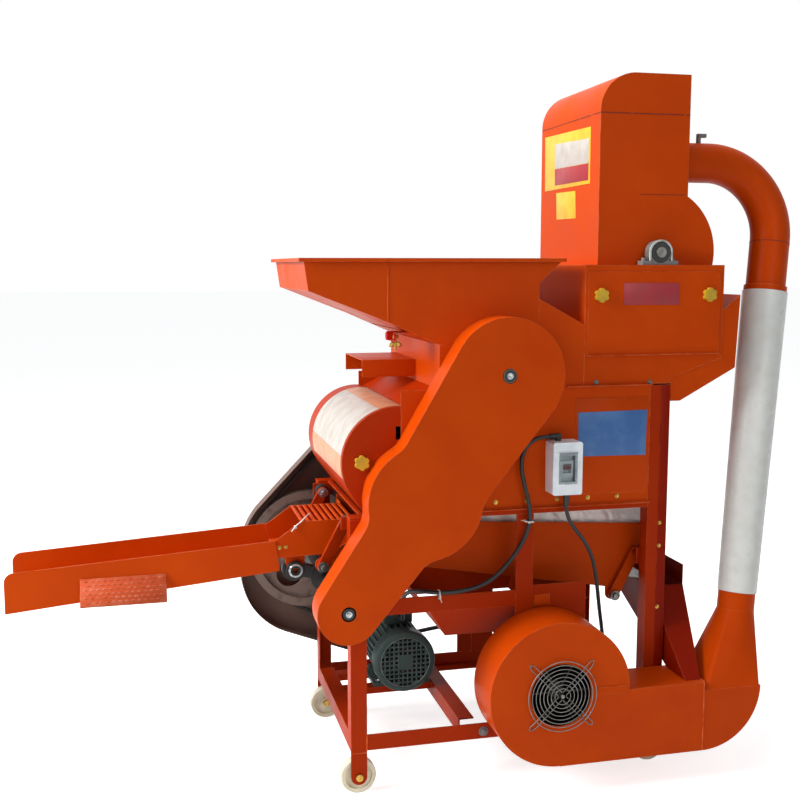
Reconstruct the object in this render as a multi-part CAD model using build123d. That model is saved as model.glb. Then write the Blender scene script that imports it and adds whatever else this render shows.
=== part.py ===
"""Peanut sheller on a wheeled frame, built as separate pieces at their real size.

X runs along the machine from the kernel trough to the lift tube, Y from the front to the back
and Z up from the floor. The machine is first laid out from the front left corner of its frame and
then moved so that the origin is on the floor under its middle.
"""
import math
import os

from build123d import *

# Frame of angle iron, sizes in millimetres
FRAME_LENGTH = 925.0
FRAME_DEPTH = 570.0
ANGLE = 45.0
ANGLE_WALL = 4.0
POST_WIDTH = 60.0
POST_TOP = 1116.0
MID_POST_X = 471.0
MID_POST_WIDTH = 50.0
LOW_RAIL_Z = 125.0
MID_RAIL_TOP = 550.0
DECK_Z = 780.0
DECK_LIP = 14.0
TOP_BAR = 6.0
LEG_TIE = 12.0
CROSS_RAIL_X = 320.0
CHAMBER_LEFT = FRAME_LENGTH - 263.0
SHEET = 2.0

# Clearances
RUN_GAP = 0.05
SIDE_GAP = 0.5
BOLT_GAP = 0.3
HOLE_GAP = 4.0

# Wheels
WHEEL_D = 100.0
WHEEL_WIDTH = 28.0
WHEEL_EDGE = 4.0
WHEEL_DISH = 6.0
AXLE_D = 12.0
AXLE_HEAD = 20.0
AXLE_HEAD_H = 7.0
AXLE_COLLAR = 4.0

# Motor
MOTOR_X = 225.0
MOTOR_SHAFT_HEIGHT = 90.0
MOTOR_RAIL_H = 20.0
MOTOR_RAIL_W = 40.0
MOTOR_RAIL_Y = (FRAME_DEPTH - 210.0, FRAME_DEPTH - 85.0)
MOTOR_FOOT_SPAN = 140.0
MOTOR_CORE_R = 78.0
MOTOR_FIN_R = 88.0
MOTOR_FIN_COUNT = 28
MOTOR_FRONT_Y = FRAME_DEPTH - 232.0
MOTOR_BACK_Y = FRAME_DEPTH + 15.0
COWL_R = 95.0
COWL_FRONT_Y = FRAME_DEPTH - 280.0
MOTOR_SHAFT_D = 24.0
MOTOR_BOLT_D = 10.0
TERMINAL_W = 95.0
TERMINAL_D = 90.0
TERMINAL_H = 52.0

# Shaft places and diameters
COUNTER_X = -20.0
COUNTER_Z = 543.0
COUNTER_D = 30.0
JACK_X = 190.0
JACK_Z = 828.0
JACK_D = 30.0
DRUM_X = CHAMBER_LEFT - 245.0
DRUM_Z = 1160.0
DRUM_D = 35.0
BLOWER_X = 130.0
BLOWER_Z = 926.0
BLOWER_D = 25.0
LIFT_X = 552.0
LIFT_Z = 294.0
LIFT_D = 25.0
SECOND_X = FRAME_LENGTH - 38.0
SECOND_Z = 1487.0
SECOND_D = 30.0

# Pulleys and belts, planes counted along Y
FRONT_PLANE_1 = -43.0
FRONT_PLANE_2 = -61.0
BACK_PLANE_1 = FRAME_DEPTH + 43.0
BACK_PLANE_2 = FRAME_DEPTH + 61.0
GROOVE_W = 13.0
GROOVE_DEPTH = 12.0
PULLEY_LAND = 2.5
BELT_W = 12.0
BELT_T = 10.0
BELT_GAP = 0.5
COUNTER_PULLEY_R = 65.0
JACK_PULLEY_R = 105.0
DRUM_PULLEY_R = 135.0
DRIVE_WHEEL_R = 190.0
DRIVE_RIM = 26.0
DRIVE_WEB = 10.0
DRIVE_HOLES = 5
MOTOR_PULLEY_R = 50.0
BLOWER_PULLEY_R = 40.0
LIFT_PULLEY_R = 45.0
DRUM_BACK_PULLEY_R = 60.0
SECOND_PULLEY_R = 60.0

# Bearings
BEARING_R = 27.0
BEARING_BOLT_SPAN = 84.0
BEARING_EAR_R = 12.0
BEARING_FLANGE = 11.0
BEARING_HEAD = 6.0
BLOWER_EAR_TURN = 60.0
BEARING_DEPTH = 30.0
PILLOW_DEPTH = 34.0
PILLOW_H = 43.0
PILLOW_BASE = 12.0

# Belt guards
GUARD_FRONT_Y = -85.0
GUARD_WALL = 2.0
GUARD_LOW_R = 84.0
GUARD_MID_R = 157.0
GUARD_HIGH_R = 156.0
GUARD_HIGH_NECK_R = 128.0
GUARD_LOW_NECK_R = 104.0
GUARD_WAVE_R = 70.0
GUARD_HOLE = 36.0
REAR_GUARD_Y0 = FRAME_DEPTH + 34.0
REAR_GUARD_Y1 = FRAME_DEPTH + 84.0
REAR_GUARD_R = 222.0
REAR_GUARD_DROP = 63.0
REAR_GUARD_TOP_R = 58.0
REAR_GUARD_MOTOR_R = 100.0
STANDOFF_R = 8.0

# Sieve, neck and kernel trough
SIEVE_Y0 = 104.0
SIEVE_Y1 = FRAME_DEPTH - 104.0
SIEVE_WALL = 3.0
SIEVE_LEFT = 47.0
SIEVE_RIGHT = FRAME_LENGTH - 19.0
SIEVE_TOP_LEFT = 748.0
SIEVE_TOP_RIGHT = 693.0
SIEVE_LOW_LEFT = 636.0
SIEVE_LOW_RIGHT = 507.0
SPOUT_X = FRAME_LENGTH + 17.0
DECK_RISE = 34.0
ROCKER_Y0 = 84.0
ROCKER_T = 12.0
ROCKER_W = 30.0
ROCKER_LEAN = 66.0
ROCKER_DROP = 125.0
LEFT_PIN_X = 7.0
LEFT_PIN_Z = 754.0
RIGHT_PIN_X = FRAME_LENGTH - 52.0
RIGHT_PIN_Z = 612.0
PIN_D = 16.0
NECK_Y0 = FRAME_DEPTH / 2 - 100.0
NECK_Y1 = FRAME_DEPTH / 2 + 114.0
NECK_TOP = 735.0
NECK_FLOOR = 640.0
NECK_LEFT = -182.0
SLAT_COUNT = 9
SLAT_W = 8.0
TROUGH_LEFT = -902.0
TROUGH_RIGHT = -166.0
TROUGH_RIGHT_Z = 597.0
TROUGH_LEFT_Z = 526.0
TROUGH_RIGHT_H = 87.0
TROUGH_LEFT_H = 110.0
TROUGH_WALL = 3.0
TROUGH_CORNER_R = 26.0
LIP_X0 = -707.0
LIP_X1 = -479.0
LIP_DROP = 66.0
LIP_REACH = 45.0

# Eccentric drive of the sieve
ECCENTRIC = 5.0
ECCENTRIC_R = 32.0
CHEEK_R = 38.0
CHEEK_T = 3.0
ROD_Y = FRAME_DEPTH / 2
ROD_T = 26.0
ROD_WALL = 14.0
ROD_EYE_WALL = 10.0
ROD_END_X = -112.0
ROD_END_Z = 575.0
BUSH_R = 26.0
BUSH_PIN_D = 14.0
CLEVIS_GAP = 4.0
CLEVIS_T = 6.0

# Upper housings
BOX_LEFT = 140.0
BOX_TOP = 1120.0
BOX_FLANGE = 10.0
GUIDE_Z = 870.0
SKIRT_BOTTOM = 700.0
SKIRT_GAP = 12.0
BLOWER_R = 151.0
BLOWER_ROTOR_R = 128.0
SKIRT_LEFT = BLOWER_X + BLOWER_ROTOR_R + SKIRT_GAP
BLOWER_PADDLES = 4
DRUM_R = 98.0
DRUM_END_GAP = 28.0
DRUM_LEFT = DRUM_X - 171.0
DRUM_RIGHT = DRUM_X + 183.0
DRUM_TOP = 1240.0
PASS_TOP_Z = 1361.0
PASS_LOW_Z = 1288.0
PASS_SIDE = 60.0
HOOD_LENGTH = 160.0
HOOD_WIDTH = 250.0
HOOD_BACK = 70.0
HOOD_RISE = 12.0
HOOD_HEIGHT = 50.0
CONCAVE_R = 110.0
CONCAVE_BAR = 8.0
CONCAVE_BARS = 15
SECOND_R = 140.0
SECOND_CONCAVE_R = 152.0
HOPPER_RIM_Z = 1470.0
HOPPER_RIM = 12.0
HOPPER_RIM_DROP = 8.0
HOPPER_LEFT = DRUM_X - 535.0
HOPPER_RIGHT = DRUM_X + 183.0
HOPPER_THROAT_X = DRUM_X + 110.0
HOPPER_THROAT_Z = 1402.0
HOPPER_END_Z = 1385.0
HOPPER_KINK_X = DRUM_X - 314.0
HOPPER_KINK_Z = 1303.0
GATE_Z = 1270.0
GATE_T = 3.0
GATE_TAIL = 200.0
GATE_TAIL_Y = 110.0
GATE_LAP = 140.0
FEED_SLOT_X0 = DRUM_X - 87.0
FEED_SLOT_X1 = DRUM_X + 83.0
FEED_SLOT_Y0 = 60.0
CHAMBER_RIGHT = FRAME_LENGTH + 157.0
CHAMBER_TOP = 1452.0
CHAMBER_STEP_Z = 1136.0
CHAMBER_SIDE_Z = 1189.0
LEDGE = 45.0
SETTLE_LEFT = FRAME_LENGTH - 210.0
SETTLE_RIGHT = FRAME_LENGTH + 60.0
SETTLE_BULGE_R = 185.0
SETTLE_BACK_LEDGE = 80.0
CAP_TOP = 1978.0
CAP_HEIGHT = 110.0
SETTLE_TOP = CAP_TOP - CAP_HEIGHT
CAP_CORNER_R = 105.0
CHUTE_MOUTH_X = FRAME_LENGTH + 212.0
CHUTE_MOUTH_TOP = 1368.0
CHUTE_MOUTH_LOW = 1160.0
CHUTE_ROOF_Z = 1323.0
CHUTE_FLOOR_X = FRAME_LENGTH + 32.0
CHUTE_FLOOR_Z = 1069.0

# Lift fan, duct and tube
LIFT_FRONT = -149.0
LIFT_BACK = -4.0
LIFT_R = 202.0
DUCT_TOP = 292.0
DUCT_LOW = 91.0
ELBOW_X = FRAME_LENGTH + 55.0
ELBOW_R = 176.0
INLET_R = 99.0
INLET_RIM = 12.0
FINGER_DEPTH = 12.0
FINGER_RINGS = 8
FINGER_SPOKES = 4
FINGER_PAIR = 13.0
FINGER_HUB_R = 14.0
FINGER_FOOT_R = 125.0
FINGER_WIRE = 4.0
IMPELLER_R = 172.0
IMPELLER_BLADES = 6
COLLAR_R = 53.0
TUBE_WALL = 2.8
TUBE_LOW = (ELBOW_X + 175.0, -3.0, 446.0)
TUBE_TOP = (ELBOW_X + 301.0, 110.0, 1372.0)
COLLAR_LENGTH = 42.0
COLLAR_BARE = 52.0
TOP_ELBOW_R = 62.0
TOP_PIPE_R = 57.0
TOP_ELBOW_BEND = 200.0
TOP_ELBOW_Z = SETTLE_TOP - 120.0

# Chute for the pods that go round again, and the air box
POD_CHUTE_TOP = 496.0
POD_CHUTE_W = 112.0
POD_CHUTE_GAP = 6.0
POD_UPSTAND = 60.0
WIND_TOP_X = 455.0
WIND_TOP_L = 470.0
WIND_LOW_X = 455.0
WIND_LOW_L = 330.0
WIND_LOW_D = 400.0
WIND_LOW_RISE = 110.0
WIND_LAP = 7.0
WIND_APRON_RIGHT = 683.0
WIND_APRON_TOP = 560.0
WIND_APRON_LAP = 80.0

# Breaker box
BREAKER_REACH = 136.0
BREAKER_WIDTH = 85.0
BREAKER_X0 = DRUM_X + BREAKER_REACH
BREAKER_X1 = BREAKER_X0 + BREAKER_WIDTH
BREAKER_Z0 = 826.0
BREAKER_Z1 = 972.0
BREAKER_D = 60.0
BREAKER_WALL = 2.5
WINDOW_W = 54.0
WINDOW_H = 84.0
WINDOW_T = 2.5

# Knobs
KNOB_R = 20.0
KNOB_LOBE_R = 7.0
KNOB_LOBES = 6
KNOB_T = 14.0
KNOB_STUD_D = 8.0
COVER_KNOB_Z = 1369.0
COVER_KNOB_X = (CHAMBER_LEFT + 44.0, CHAMBER_RIGHT - 48.0)
BLOWER_KNOB_X = 32.0
BLOWER_KNOB_Z = 930.0

# Cables
CABLE_D = 12.0
SUPPLY_D = 11.0
COIL_R = 66.0
COIL_WIDTH = 33.0
COIL_HEIGHT = 23.0
COIL_X = 690.0
COIL_Y = 250.0
PLUG_R = 19.0
PLUG_LENGTH = 58.0
PLUG_RELIEF = 40.0
PLUG_PIN_D = 4.8
PLUG_PIN_SPAN = 19.0
PLUG_PIN_LENGTH = 19.0
MOTOR_REACH = FRAME_DEPTH / 570.0
MOTOR_CABLE_POINTS = [
    (BREAKER_X0 + 3.0, -22.0, 984.0), (BREAKER_X0 - 24.0, -22.0, 984.0),
    (BREAKER_X0 - 49.0, -22.0, 974.0), (BREAKER_X0 - 68.0, -22.0, 955.0),
    (BREAKER_X0 - 77.0, -21.0, 930.0), (BREAKER_X0 - 78.0, -21.0, 899.0),
    (BREAKER_X0 - 70.0, -20.0, 857.0), (BREAKER_X0 - 56.0, -22.0, 808.0),
    (BREAKER_X0 - 49.0, -20.0, 757.0), (BREAKER_X0 - 59.0, -15.0, 707.0),
    (461.0, -15.0, 655.0), (418.0, -17.0, 607.0),
    (366.0, -16.0, 573.0), (305.0, -13.0, 561.0), (246.0, -10.0, 560.0),
    (206.0, 14.0 * MOTOR_REACH, 561.0), (184.0, 62.0 * MOTOR_REACH, 549.0),
    (178.0, 120.0 * MOTOR_REACH, 520.0), (186.0, 178.0 * MOTOR_REACH, 480.0),
    (201.0, 232.0 * MOTOR_REACH, 436.0), (216.0, 288.0 * MOTOR_REACH, 395.0),
    (225.0, 333.0 * MOTOR_REACH, 375.0), (225.0, 364.0 * MOTOR_REACH, 375.0)]
SUPPLY_CABLE_POINTS = [
    (BREAKER_X0 + 51.0, -30.0, 790.0), (BREAKER_X0 + 51.0, -30.0, 760.0),
    (BREAKER_X0 + 65.0, -28.0, 724.0), (BREAKER_X0 + 92.0, -24.0, 687.0),
    (674.0, -17.0, 640.0), (692.0, -4.0, 583.0), (709.0, 12.0, 525.0), (727.0, 30.0, 468.0),
    (748.0, 48.0, 411.0), (766.0, 66.0, 352.0), (778.0, 82.0, 291.0), (786.0, 96.0, 229.0),
    (790.0, 110.0, 168.0), (790.0, 124.0, 110.0), (788.0, 140.0, 62.0), (784.0, 162.0, 24.0),
    (779.5, 196.0, 7.0), (777.0, 234.0, 6.5)]

# Derived places
LOW_RAIL_TOP = LOW_RAIL_Z + ANGLE
LEG_TOP = DECK_Z - TOP_BAR
UPPER_RAIL_Z = DECK_Z - DECK_LIP
POST_X = FRAME_LENGTH - POST_WIDTH
AXLE_Z = WHEEL_D / 2
WHEEL_Y0 = ANGLE_WALL + AXLE_COLLAR + SIDE_GAP
WHEEL_Y1 = WHEEL_Y0 + WHEEL_WIDTH
MOTOR_BASE_Z = LOW_RAIL_TOP - ANGLE_WALL
MOTOR_Z = MOTOR_BASE_Z + MOTOR_SHAFT_HEIGHT
SIEVE_MID_Y = (SIEVE_Y0 + SIEVE_Y1) / 2
LEFT_FOOT_PIN = (LEFT_PIN_X - ROCKER_LEAN, LEFT_PIN_Z - ROCKER_DROP)
RIGHT_FOOT_PIN = (RIGHT_PIN_X - ROCKER_LEAN, RIGHT_PIN_Z - ROCKER_DROP)
ROD_HUB_Z = COUNTER_Z + ECCENTRIC
SETTLE_FRONT = LEDGE
SETTLE_BACK = FRAME_DEPTH - SETTLE_BACK_LEDGE
COVER_T = SHEET


# Small helpers for shapes that are drawn in the XZ plane and run along Y
def slab(x0, x1, y0, y1, z0, z1):
    return Pos(x0, y0, z0) * Box(x1 - x0, y1 - y0, z1 - z0, align=(Align.MIN, Align.MIN, Align.MIN))


def rod(x, z, radius, y0, y1):
    return Pos(x, (y0 + y1) / 2, z) * Rot(90, 0, 0) * Cylinder(radius, y1 - y0)


def tube(x, z, outer, inner, y0, y1):
    return rod(x, z, outer, y0, y1) - rod(x, z, inner, y0 - 1, y1 + 1)


def rise(sketch, y0, y1):
    wall = Plane(origin=(0, y0, 0), x_dir=(1, 0, 0), z_dir=(0, -1, 0))
    return extrude(wall * sketch, amount=-(y1 - y0))


def outline(points):
    return make_face(Polyline(*points, close=True))


def panel(points, y0, y1):
    return rise(outline(points), y0, y1)


def disc(x, z, radius):
    return Pos(x, z) * Circle(radius)


def hull(*circles):
    return make_hull([disc(x, z, radius).edge() for x, z, radius in circles])


def folded(points, wall, y0, y1):
    """A bent sheet along an open outline, its thickness to the right of the way it is drawn."""
    vectors = [Vector(x, z) for x, z in points]
    ways = [(b - a).normalized() for a, b in zip(vectors, vectors[1:])]
    sides = [Vector(way.Y, -way.X) for way in ways]
    inner = [vectors[0] + sides[0] * wall]
    for corner, before, after in zip(vectors[1:], sides, sides[1:]):
        middle = (before + after).normalized()
        inner.append(corner + middle * (wall / middle.dot(after)))
    inner.append(vectors[-1] + sides[-1] * wall)
    ring = vectors + inner[::-1]
    return panel([(v.X, v.Y) for v in ring], y0, y1)


def to_back(shape):
    return mirror(shape, about=Plane(origin=(0, FRAME_DEPTH / 2, 0), z_dir=(0, 1, 0)))


def front_and_back(shape):
    return [shape, to_back(shape)]


# Frame
def wheel_plate(x):
    plate = slab(x - ANGLE / 2, x + ANGLE / 2, 0, ANGLE_WALL, AXLE_Z, LOW_RAIL_Z)
    plate += rod(x, AXLE_Z, ANGLE / 2, 0, ANGLE_WALL)
    return plate - rod(x, AXLE_Z, AXLE_D / 2 + BOLT_GAP, -1, ANGLE_WALL + 1)


def frame_posts():
    leg = slab(0, ANGLE, 0, ANGLE_WALL, LOW_RAIL_Z, LEG_TOP)
    leg += slab(0, ANGLE_WALL, ANGLE_WALL, ANGLE, LOW_RAIL_Z, LEG_TOP)
    leg += wheel_plate(ANGLE / 2)
    post = slab(POST_X, FRAME_LENGTH, 0, ANGLE_WALL, LOW_RAIL_Z, POST_TOP)
    for x in (POST_X, FRAME_LENGTH - ANGLE_WALL):
        post += slab(x, x + ANGLE_WALL, ANGLE_WALL, ANGLE, LOW_RAIL_Z, POST_TOP)
    post += wheel_plate(FRAME_LENGTH - POST_WIDTH / 2)
    mid = slab(MID_POST_X, MID_POST_X + MID_POST_WIDTH, 0, ANGLE_WALL, LOW_RAIL_TOP, UPPER_RAIL_Z)
    return front_and_back(leg) + front_and_back(post) + front_and_back(mid)


def deck_rail():
    rail = slab(ANGLE, POST_X, 0, ANGLE_WALL, UPPER_RAIL_Z, DECK_Z)
    return rail + slab(ANGLE, POST_X, ANGLE_WALL, ANGLE, DECK_Z - ANGLE_WALL, DECK_Z)


def low_rail():
    rail = slab(ANGLE, POST_X, 0, ANGLE_WALL, LOW_RAIL_Z, LOW_RAIL_TOP)
    return rail + slab(ANGLE, POST_X, ANGLE_WALL, ANGLE, LOW_RAIL_Z, LOW_RAIL_Z + ANGLE_WALL)


def side_rail(x, inward, top):
    """A rail along Y whose upright leg stands at x and whose flat leg points inward."""
    upright = sorted((x, x + inward * ANGLE_WALL))
    flat = sorted((x + inward * ANGLE_WALL, x + inward * ANGLE))
    rail = slab(*upright, ANGLE, FRAME_DEPTH - ANGLE, top - ANGLE, top)
    return rail + slab(*flat, ANGLE, FRAME_DEPTH - ANGLE, top - ANGLE_WALL, top)


def motor_rail(y):
    half = MOTOR_RAIL_W / 2
    x0 = ANGLE_WALL
    x1 = CROSS_RAIL_X
    z0 = MOTOR_BASE_Z - MOTOR_RAIL_H
    rail = slab(x0, x1, y - half, y + half, z0, MOTOR_BASE_Z)
    rail -= slab(x0 - 1, x1 + 1, y - half + ANGLE_WALL, y + half - ANGLE_WALL, z0 - 1, MOTOR_BASE_Z - ANGLE_WALL)
    for x in motor_foot_places():
        hole = Cylinder(MOTOR_BOLT_D / 2 + BOLT_GAP, MOTOR_RAIL_H * 3)
        rail -= Pos(x, y, MOTOR_BASE_Z) * hole
    return rail


def motor_foot_places():
    return (MOTOR_X - MOTOR_FOOT_SPAN / 2, MOTOR_X + MOTOR_FOOT_SPAN / 2)


def rocker_hanger(pin_x, pin_z, x0, x1, z0, z1):
    """A bracket behind the front post with a stud on which a rocker swings."""
    hanger = slab(x0, x1, ANGLE, ANGLE + TOP_BAR, z0, z1)
    hanger += rod(pin_x, pin_z, PIN_D * 0.75, ANGLE + TOP_BAR, ROCKER_Y0 - SIDE_GAP)
    hanger += rod(pin_x, pin_z, PIN_D / 2, ROCKER_Y0 - SIDE_GAP, ROCKER_Y0 + ROCKER_T + SIDE_GAP)
    nut_end = SIEVE_Y0 - SIDE_GAP
    return hanger + rod(pin_x, pin_z, PIN_D * 0.75, ROCKER_Y0 + ROCKER_T + SIDE_GAP, nut_end)


def frame_rails():
    rails = front_and_back(low_rail()) + front_and_back(deck_rail())
    mid = slab(ANGLE, MID_POST_X, 0, ANGLE_WALL, MID_RAIL_TOP - ANGLE, MID_RAIL_TOP)
    rails += front_and_back(mid)
    rails.append(side_rail(0, 1, LOW_RAIL_TOP))
    rails.append(side_rail(FRAME_LENGTH, -1, LOW_RAIL_TOP))
    rails.append(side_rail(FRAME_LENGTH, -1, DECK_Z))
    rails.append(side_rail(CROSS_RAIL_X, 1, LOW_RAIL_TOP))
    leg_cap = slab(0, ANGLE, 0, ANGLE, LEG_TOP, DECK_Z)
    rails.append(slab(ANGLE - LEG_TIE, ANGLE, 0, FRAME_DEPTH, LEG_TOP, DECK_Z) + leg_cap + to_back(leg_cap))
    rails += [motor_rail(y) for y in MOTOR_RAIL_Y]
    plate_x = MID_POST_X + MID_POST_WIDTH
    plate = slab(plate_x, LIFT_X + BEARING_BOLT_SPAN / 2, FRAME_DEPTH - ANGLE_WALL, FRAME_DEPTH,
                 LOW_RAIL_TOP, LIFT_Z + BEARING_BOLT_SPAN)
    y_hole = (FRAME_DEPTH - ANGLE_WALL - 1, FRAME_DEPTH + 1)
    rails.append(plate - rod(LIFT_X, LIFT_Z, LIFT_D / 2 + HOLE_GAP, *y_hole))
    left = rocker_hanger(LEFT_PIN_X, LEFT_PIN_Z, -PIN_D, ANGLE, LEFT_PIN_Z - PIN_D, LEG_TOP)
    right = rocker_hanger(RIGHT_PIN_X, RIGHT_PIN_Z, POST_X - PIN_D / 2, FRAME_LENGTH,
                          RIGHT_PIN_Z - PIN_D * 1.5, RIGHT_PIN_Z + PIN_D * 1.5)
    return rails + front_and_back(left) + front_and_back(right)


# Wheels
def wheel_places():
    left = ANGLE / 2
    right = FRAME_LENGTH - POST_WIDTH / 2
    return {"front_left": (left, False), "back_left": (left, True),
            "front_right": (right, False), "back_right": (right, True)}


def wheel_axle(x):
    bolt = rod(x, AXLE_Z, AXLE_HEAD / 2, -AXLE_HEAD_H, 0)
    bolt += rod(x, AXLE_Z, AXLE_D / 2, 0, WHEEL_Y1 + SIDE_GAP + AXLE_HEAD_H)
    bolt += rod(x, AXLE_Z, AXLE_HEAD / 2, ANGLE_WALL, WHEEL_Y0 - SIDE_GAP)
    return bolt + rod(x, AXLE_Z, AXLE_HEAD / 2, WHEEL_Y1 + SIDE_GAP, WHEEL_Y1 + SIDE_GAP + AXLE_HEAD_H)


def wheel(x):
    body = rod(x, AXLE_Z, WHEEL_D / 2, WHEEL_Y0, WHEEL_Y1)
    body = fillet(body.edges().filter_by(GeomType.CIRCLE), WHEEL_EDGE)
    for y0, y1 in ((WHEEL_Y0 - 1, WHEEL_Y0 + WHEEL_DISH), (WHEEL_Y1 - WHEEL_DISH, WHEEL_Y1 + 1)):
        body -= tube(x, AXLE_Z, WHEEL_D * 0.38, AXLE_HEAD * 0.8, y0, y1)
    return body - rod(x, AXLE_Z, AXLE_D / 2 + RUN_GAP, WHEEL_Y0 - 1, WHEEL_Y1 + 1)


def placed(shape, at_back):
    return to_back(shape) if at_back else shape


# Motor
def motor_body():
    body = rod(MOTOR_X, MOTOR_Z, MOTOR_CORE_R, MOTOR_FRONT_Y, MOTOR_BACK_Y)
    fin_y0 = MOTOR_FRONT_Y + 2
    fin_y1 = MOTOR_BACK_Y - 30
    fin = slab(0, MOTOR_FIN_R, fin_y0, fin_y1, -1.5, 1.5)
    for index in range(MOTOR_FIN_COUNT):
        angle = (index + 0.5) * 360 / MOTOR_FIN_COUNT
        body += Pos(MOTOR_X, 0, MOTOR_Z) * Rot(0, angle, 0) * fin
    body += rod(MOTOR_X, MOTOR_Z, MOTOR_FIN_R - 2, MOTOR_BACK_Y - 26, MOTOR_BACK_Y - 6)
    half = MOTOR_FOOT_SPAN / 2 + 18
    foot_y0 = MOTOR_RAIL_Y[0] - 18
    foot_y1 = MOTOR_RAIL_Y[1] + 18
    body += slab(MOTOR_X - half, MOTOR_X + half, foot_y0, foot_y1, MOTOR_BASE_Z, MOTOR_BASE_Z + 12)
    body += slab(MOTOR_X - half * 0.62, MOTOR_X + half * 0.62, foot_y0, foot_y1,
                 MOTOR_BASE_Z + 12, MOTOR_Z - MOTOR_CORE_R * 0.7)
    for x in motor_foot_places():
        for y in MOTOR_RAIL_Y:
            body -= Pos(x, y, MOTOR_BASE_Z) * Cylinder(MOTOR_BOLT_D / 2 + BOLT_GAP, 60)
    body -= rod(MOTOR_X, MOTOR_Z, MOTOR_SHAFT_D / 2 + RUN_GAP, MOTOR_FRONT_Y - 1, MOTOR_BACK_Y + 1)
    seat_z = MOTOR_Z + MOTOR_FIN_R + 2
    half_w = TERMINAL_W / 2
    y0 = MOTOR_RAIL_Y[0] + 30
    neck = slab(MOTOR_X - half_w * 0.7, MOTOR_X + half_w * 0.7, y0 + 8, y0 + TERMINAL_D - 8,
                MOTOR_Z + MOTOR_CORE_R * 0.8, seat_z)
    body += neck
    box = slab(MOTOR_X - half_w, MOTOR_X + half_w, y0, y0 + TERMINAL_D, seat_z, seat_z + TERMINAL_H)
    box = fillet(box.edges().filter_by(Axis.Z), 6)
    return [body, box]


def motor_fan_cowl():
    cowl = rod(MOTOR_X, MOTOR_Z, COWL_R, COWL_FRONT_Y, MOTOR_FRONT_Y)
    front_edge = cowl.edges().filter_by(GeomType.CIRCLE).sort_by(Axis.Y)[0]
    cowl = fillet(front_edge, 12)
    inner = rod(MOTOR_X, MOTOR_Z, COWL_R - SHEET, COWL_FRONT_Y + SHEET, MOTOR_FRONT_Y + 1)
    cowl -= fillet(inner.edges().filter_by(GeomType.CIRCLE).sort_by(Axis.Y)[0], 11)
    holes = [Pos(MOTOR_X + x, COWL_FRONT_Y, MOTOR_Z + z) * Box(10, 20, 10)
             for x in range(-70, 71, 14) for z in range(-70, 71, 14) if 20 < math.hypot(x, z) < 74]
    cowl -= holes
    rim = tube(MOTOR_X, MOTOR_Z, COWL_R - 1, MOTOR_CORE_R - 4, MOTOR_FRONT_Y - 2, MOTOR_FRONT_Y)
    return [cowl + rim]


def motor_rotor():
    shaft_end = BACK_PLANE_2 + GROOVE_W
    shaft = rod(MOTOR_X, MOTOR_Z, MOTOR_SHAFT_D / 2, COWL_FRONT_Y + 14, shaft_end)
    fan_y = COWL_FRONT_Y + 18
    fan = rod(MOTOR_X, MOTOR_Z, COWL_R * 0.45, fan_y, fan_y + 6)
    blade = slab(0, COWL_R * 0.8, fan_y, fan_y + 20, -1.5, 1.5)
    for index in range(6):
        fan += Pos(MOTOR_X, 0, MOTOR_Z) * Rot(0, index * 60, 0) * blade
    pulley = grooved_pulley(MOTOR_X, MOTOR_Z, MOTOR_PULLEY_R, MOTOR_SHAFT_D, (BACK_PLANE_1, BACK_PLANE_2))
    return [shaft + fan, pulley]


def bolt_up(x, y, z, length, diameter, head):
    """An upright bolt whose head rests on z, with its shank below."""
    shank = Pos(x, y, z - length / 2) * Cylinder(diameter / 2, length)
    cap = Pos(x, y, z + head / 2) * extrude(RegularPolygon(diameter * 0.85, 6), amount=head / 2, both=True)
    return shank + cap


def frame_bolts():
    bolts = []
    for x in motor_foot_places():
        for y in MOTOR_RAIL_Y:
            bolts.append(bolt_up(x, y, MOTOR_BASE_Z + 12, 12 + ANGLE_WALL + 8, MOTOR_BOLT_D, 7))
    return bolts


# Pulleys and belts
def grooved_pulley(x, z, radius, bore_d, planes):
    y0 = min(planes) - GROOVE_W / 2 - PULLEY_LAND
    y1 = max(planes) + GROOVE_W / 2 + PULLEY_LAND
    body = rod(x, z, radius, y0, y1)
    for plane in planes:
        body -= tube(x, z, radius + 1, radius - GROOVE_DEPTH, plane - GROOVE_W / 2, plane + GROOVE_W / 2)
    return body - rod(x, z, bore_d / 2 + RUN_GAP, y0 - 1, y1 + 1)


def drive_wheel():
    planes = (BACK_PLANE_1, BACK_PLANE_2)
    body = grooved_pulley(COUNTER_X, COUNTER_Z, DRIVE_WHEEL_R, COUNTER_D, planes)
    y0 = BACK_PLANE_1 - GROOVE_W
    y1 = BACK_PLANE_2 + GROOVE_W
    middle = (BACK_PLANE_1 + BACK_PLANE_2) / 2
    inner = DRIVE_WHEEL_R - DRIVE_RIM
    for span in ((y0, middle - DRIVE_WEB / 2), (middle + DRIVE_WEB / 2, y1)):
        body -= tube(COUNTER_X, COUNTER_Z, inner, COUNTER_D * 1.2, *span)
    ring_r = (inner + COUNTER_D * 1.2) / 2
    for index in range(DRIVE_HOLES):
        angle = math.radians(90 + index * 360 / DRIVE_HOLES)
        place = (COUNTER_X + ring_r * math.cos(angle), COUNTER_Z + ring_r * math.sin(angle))
        body -= rod(*place, (inner - COUNTER_D * 1.2) * 0.34, y0, y1)
    return [body]


def belt(first, second, plane):
    """An open belt loop round two pulleys, each given as x, z and pulley radius."""
    low = GROOVE_DEPTH - BELT_GAP
    outer = hull(*[(x, z, r - low + BELT_T) for x, z, r in (first, second)])
    inner = hull(*[(x, z, r - low) for x, z, r in (first, second)])
    return rise(outer - inner, plane - BELT_W / 2, plane + BELT_W / 2)


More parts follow.
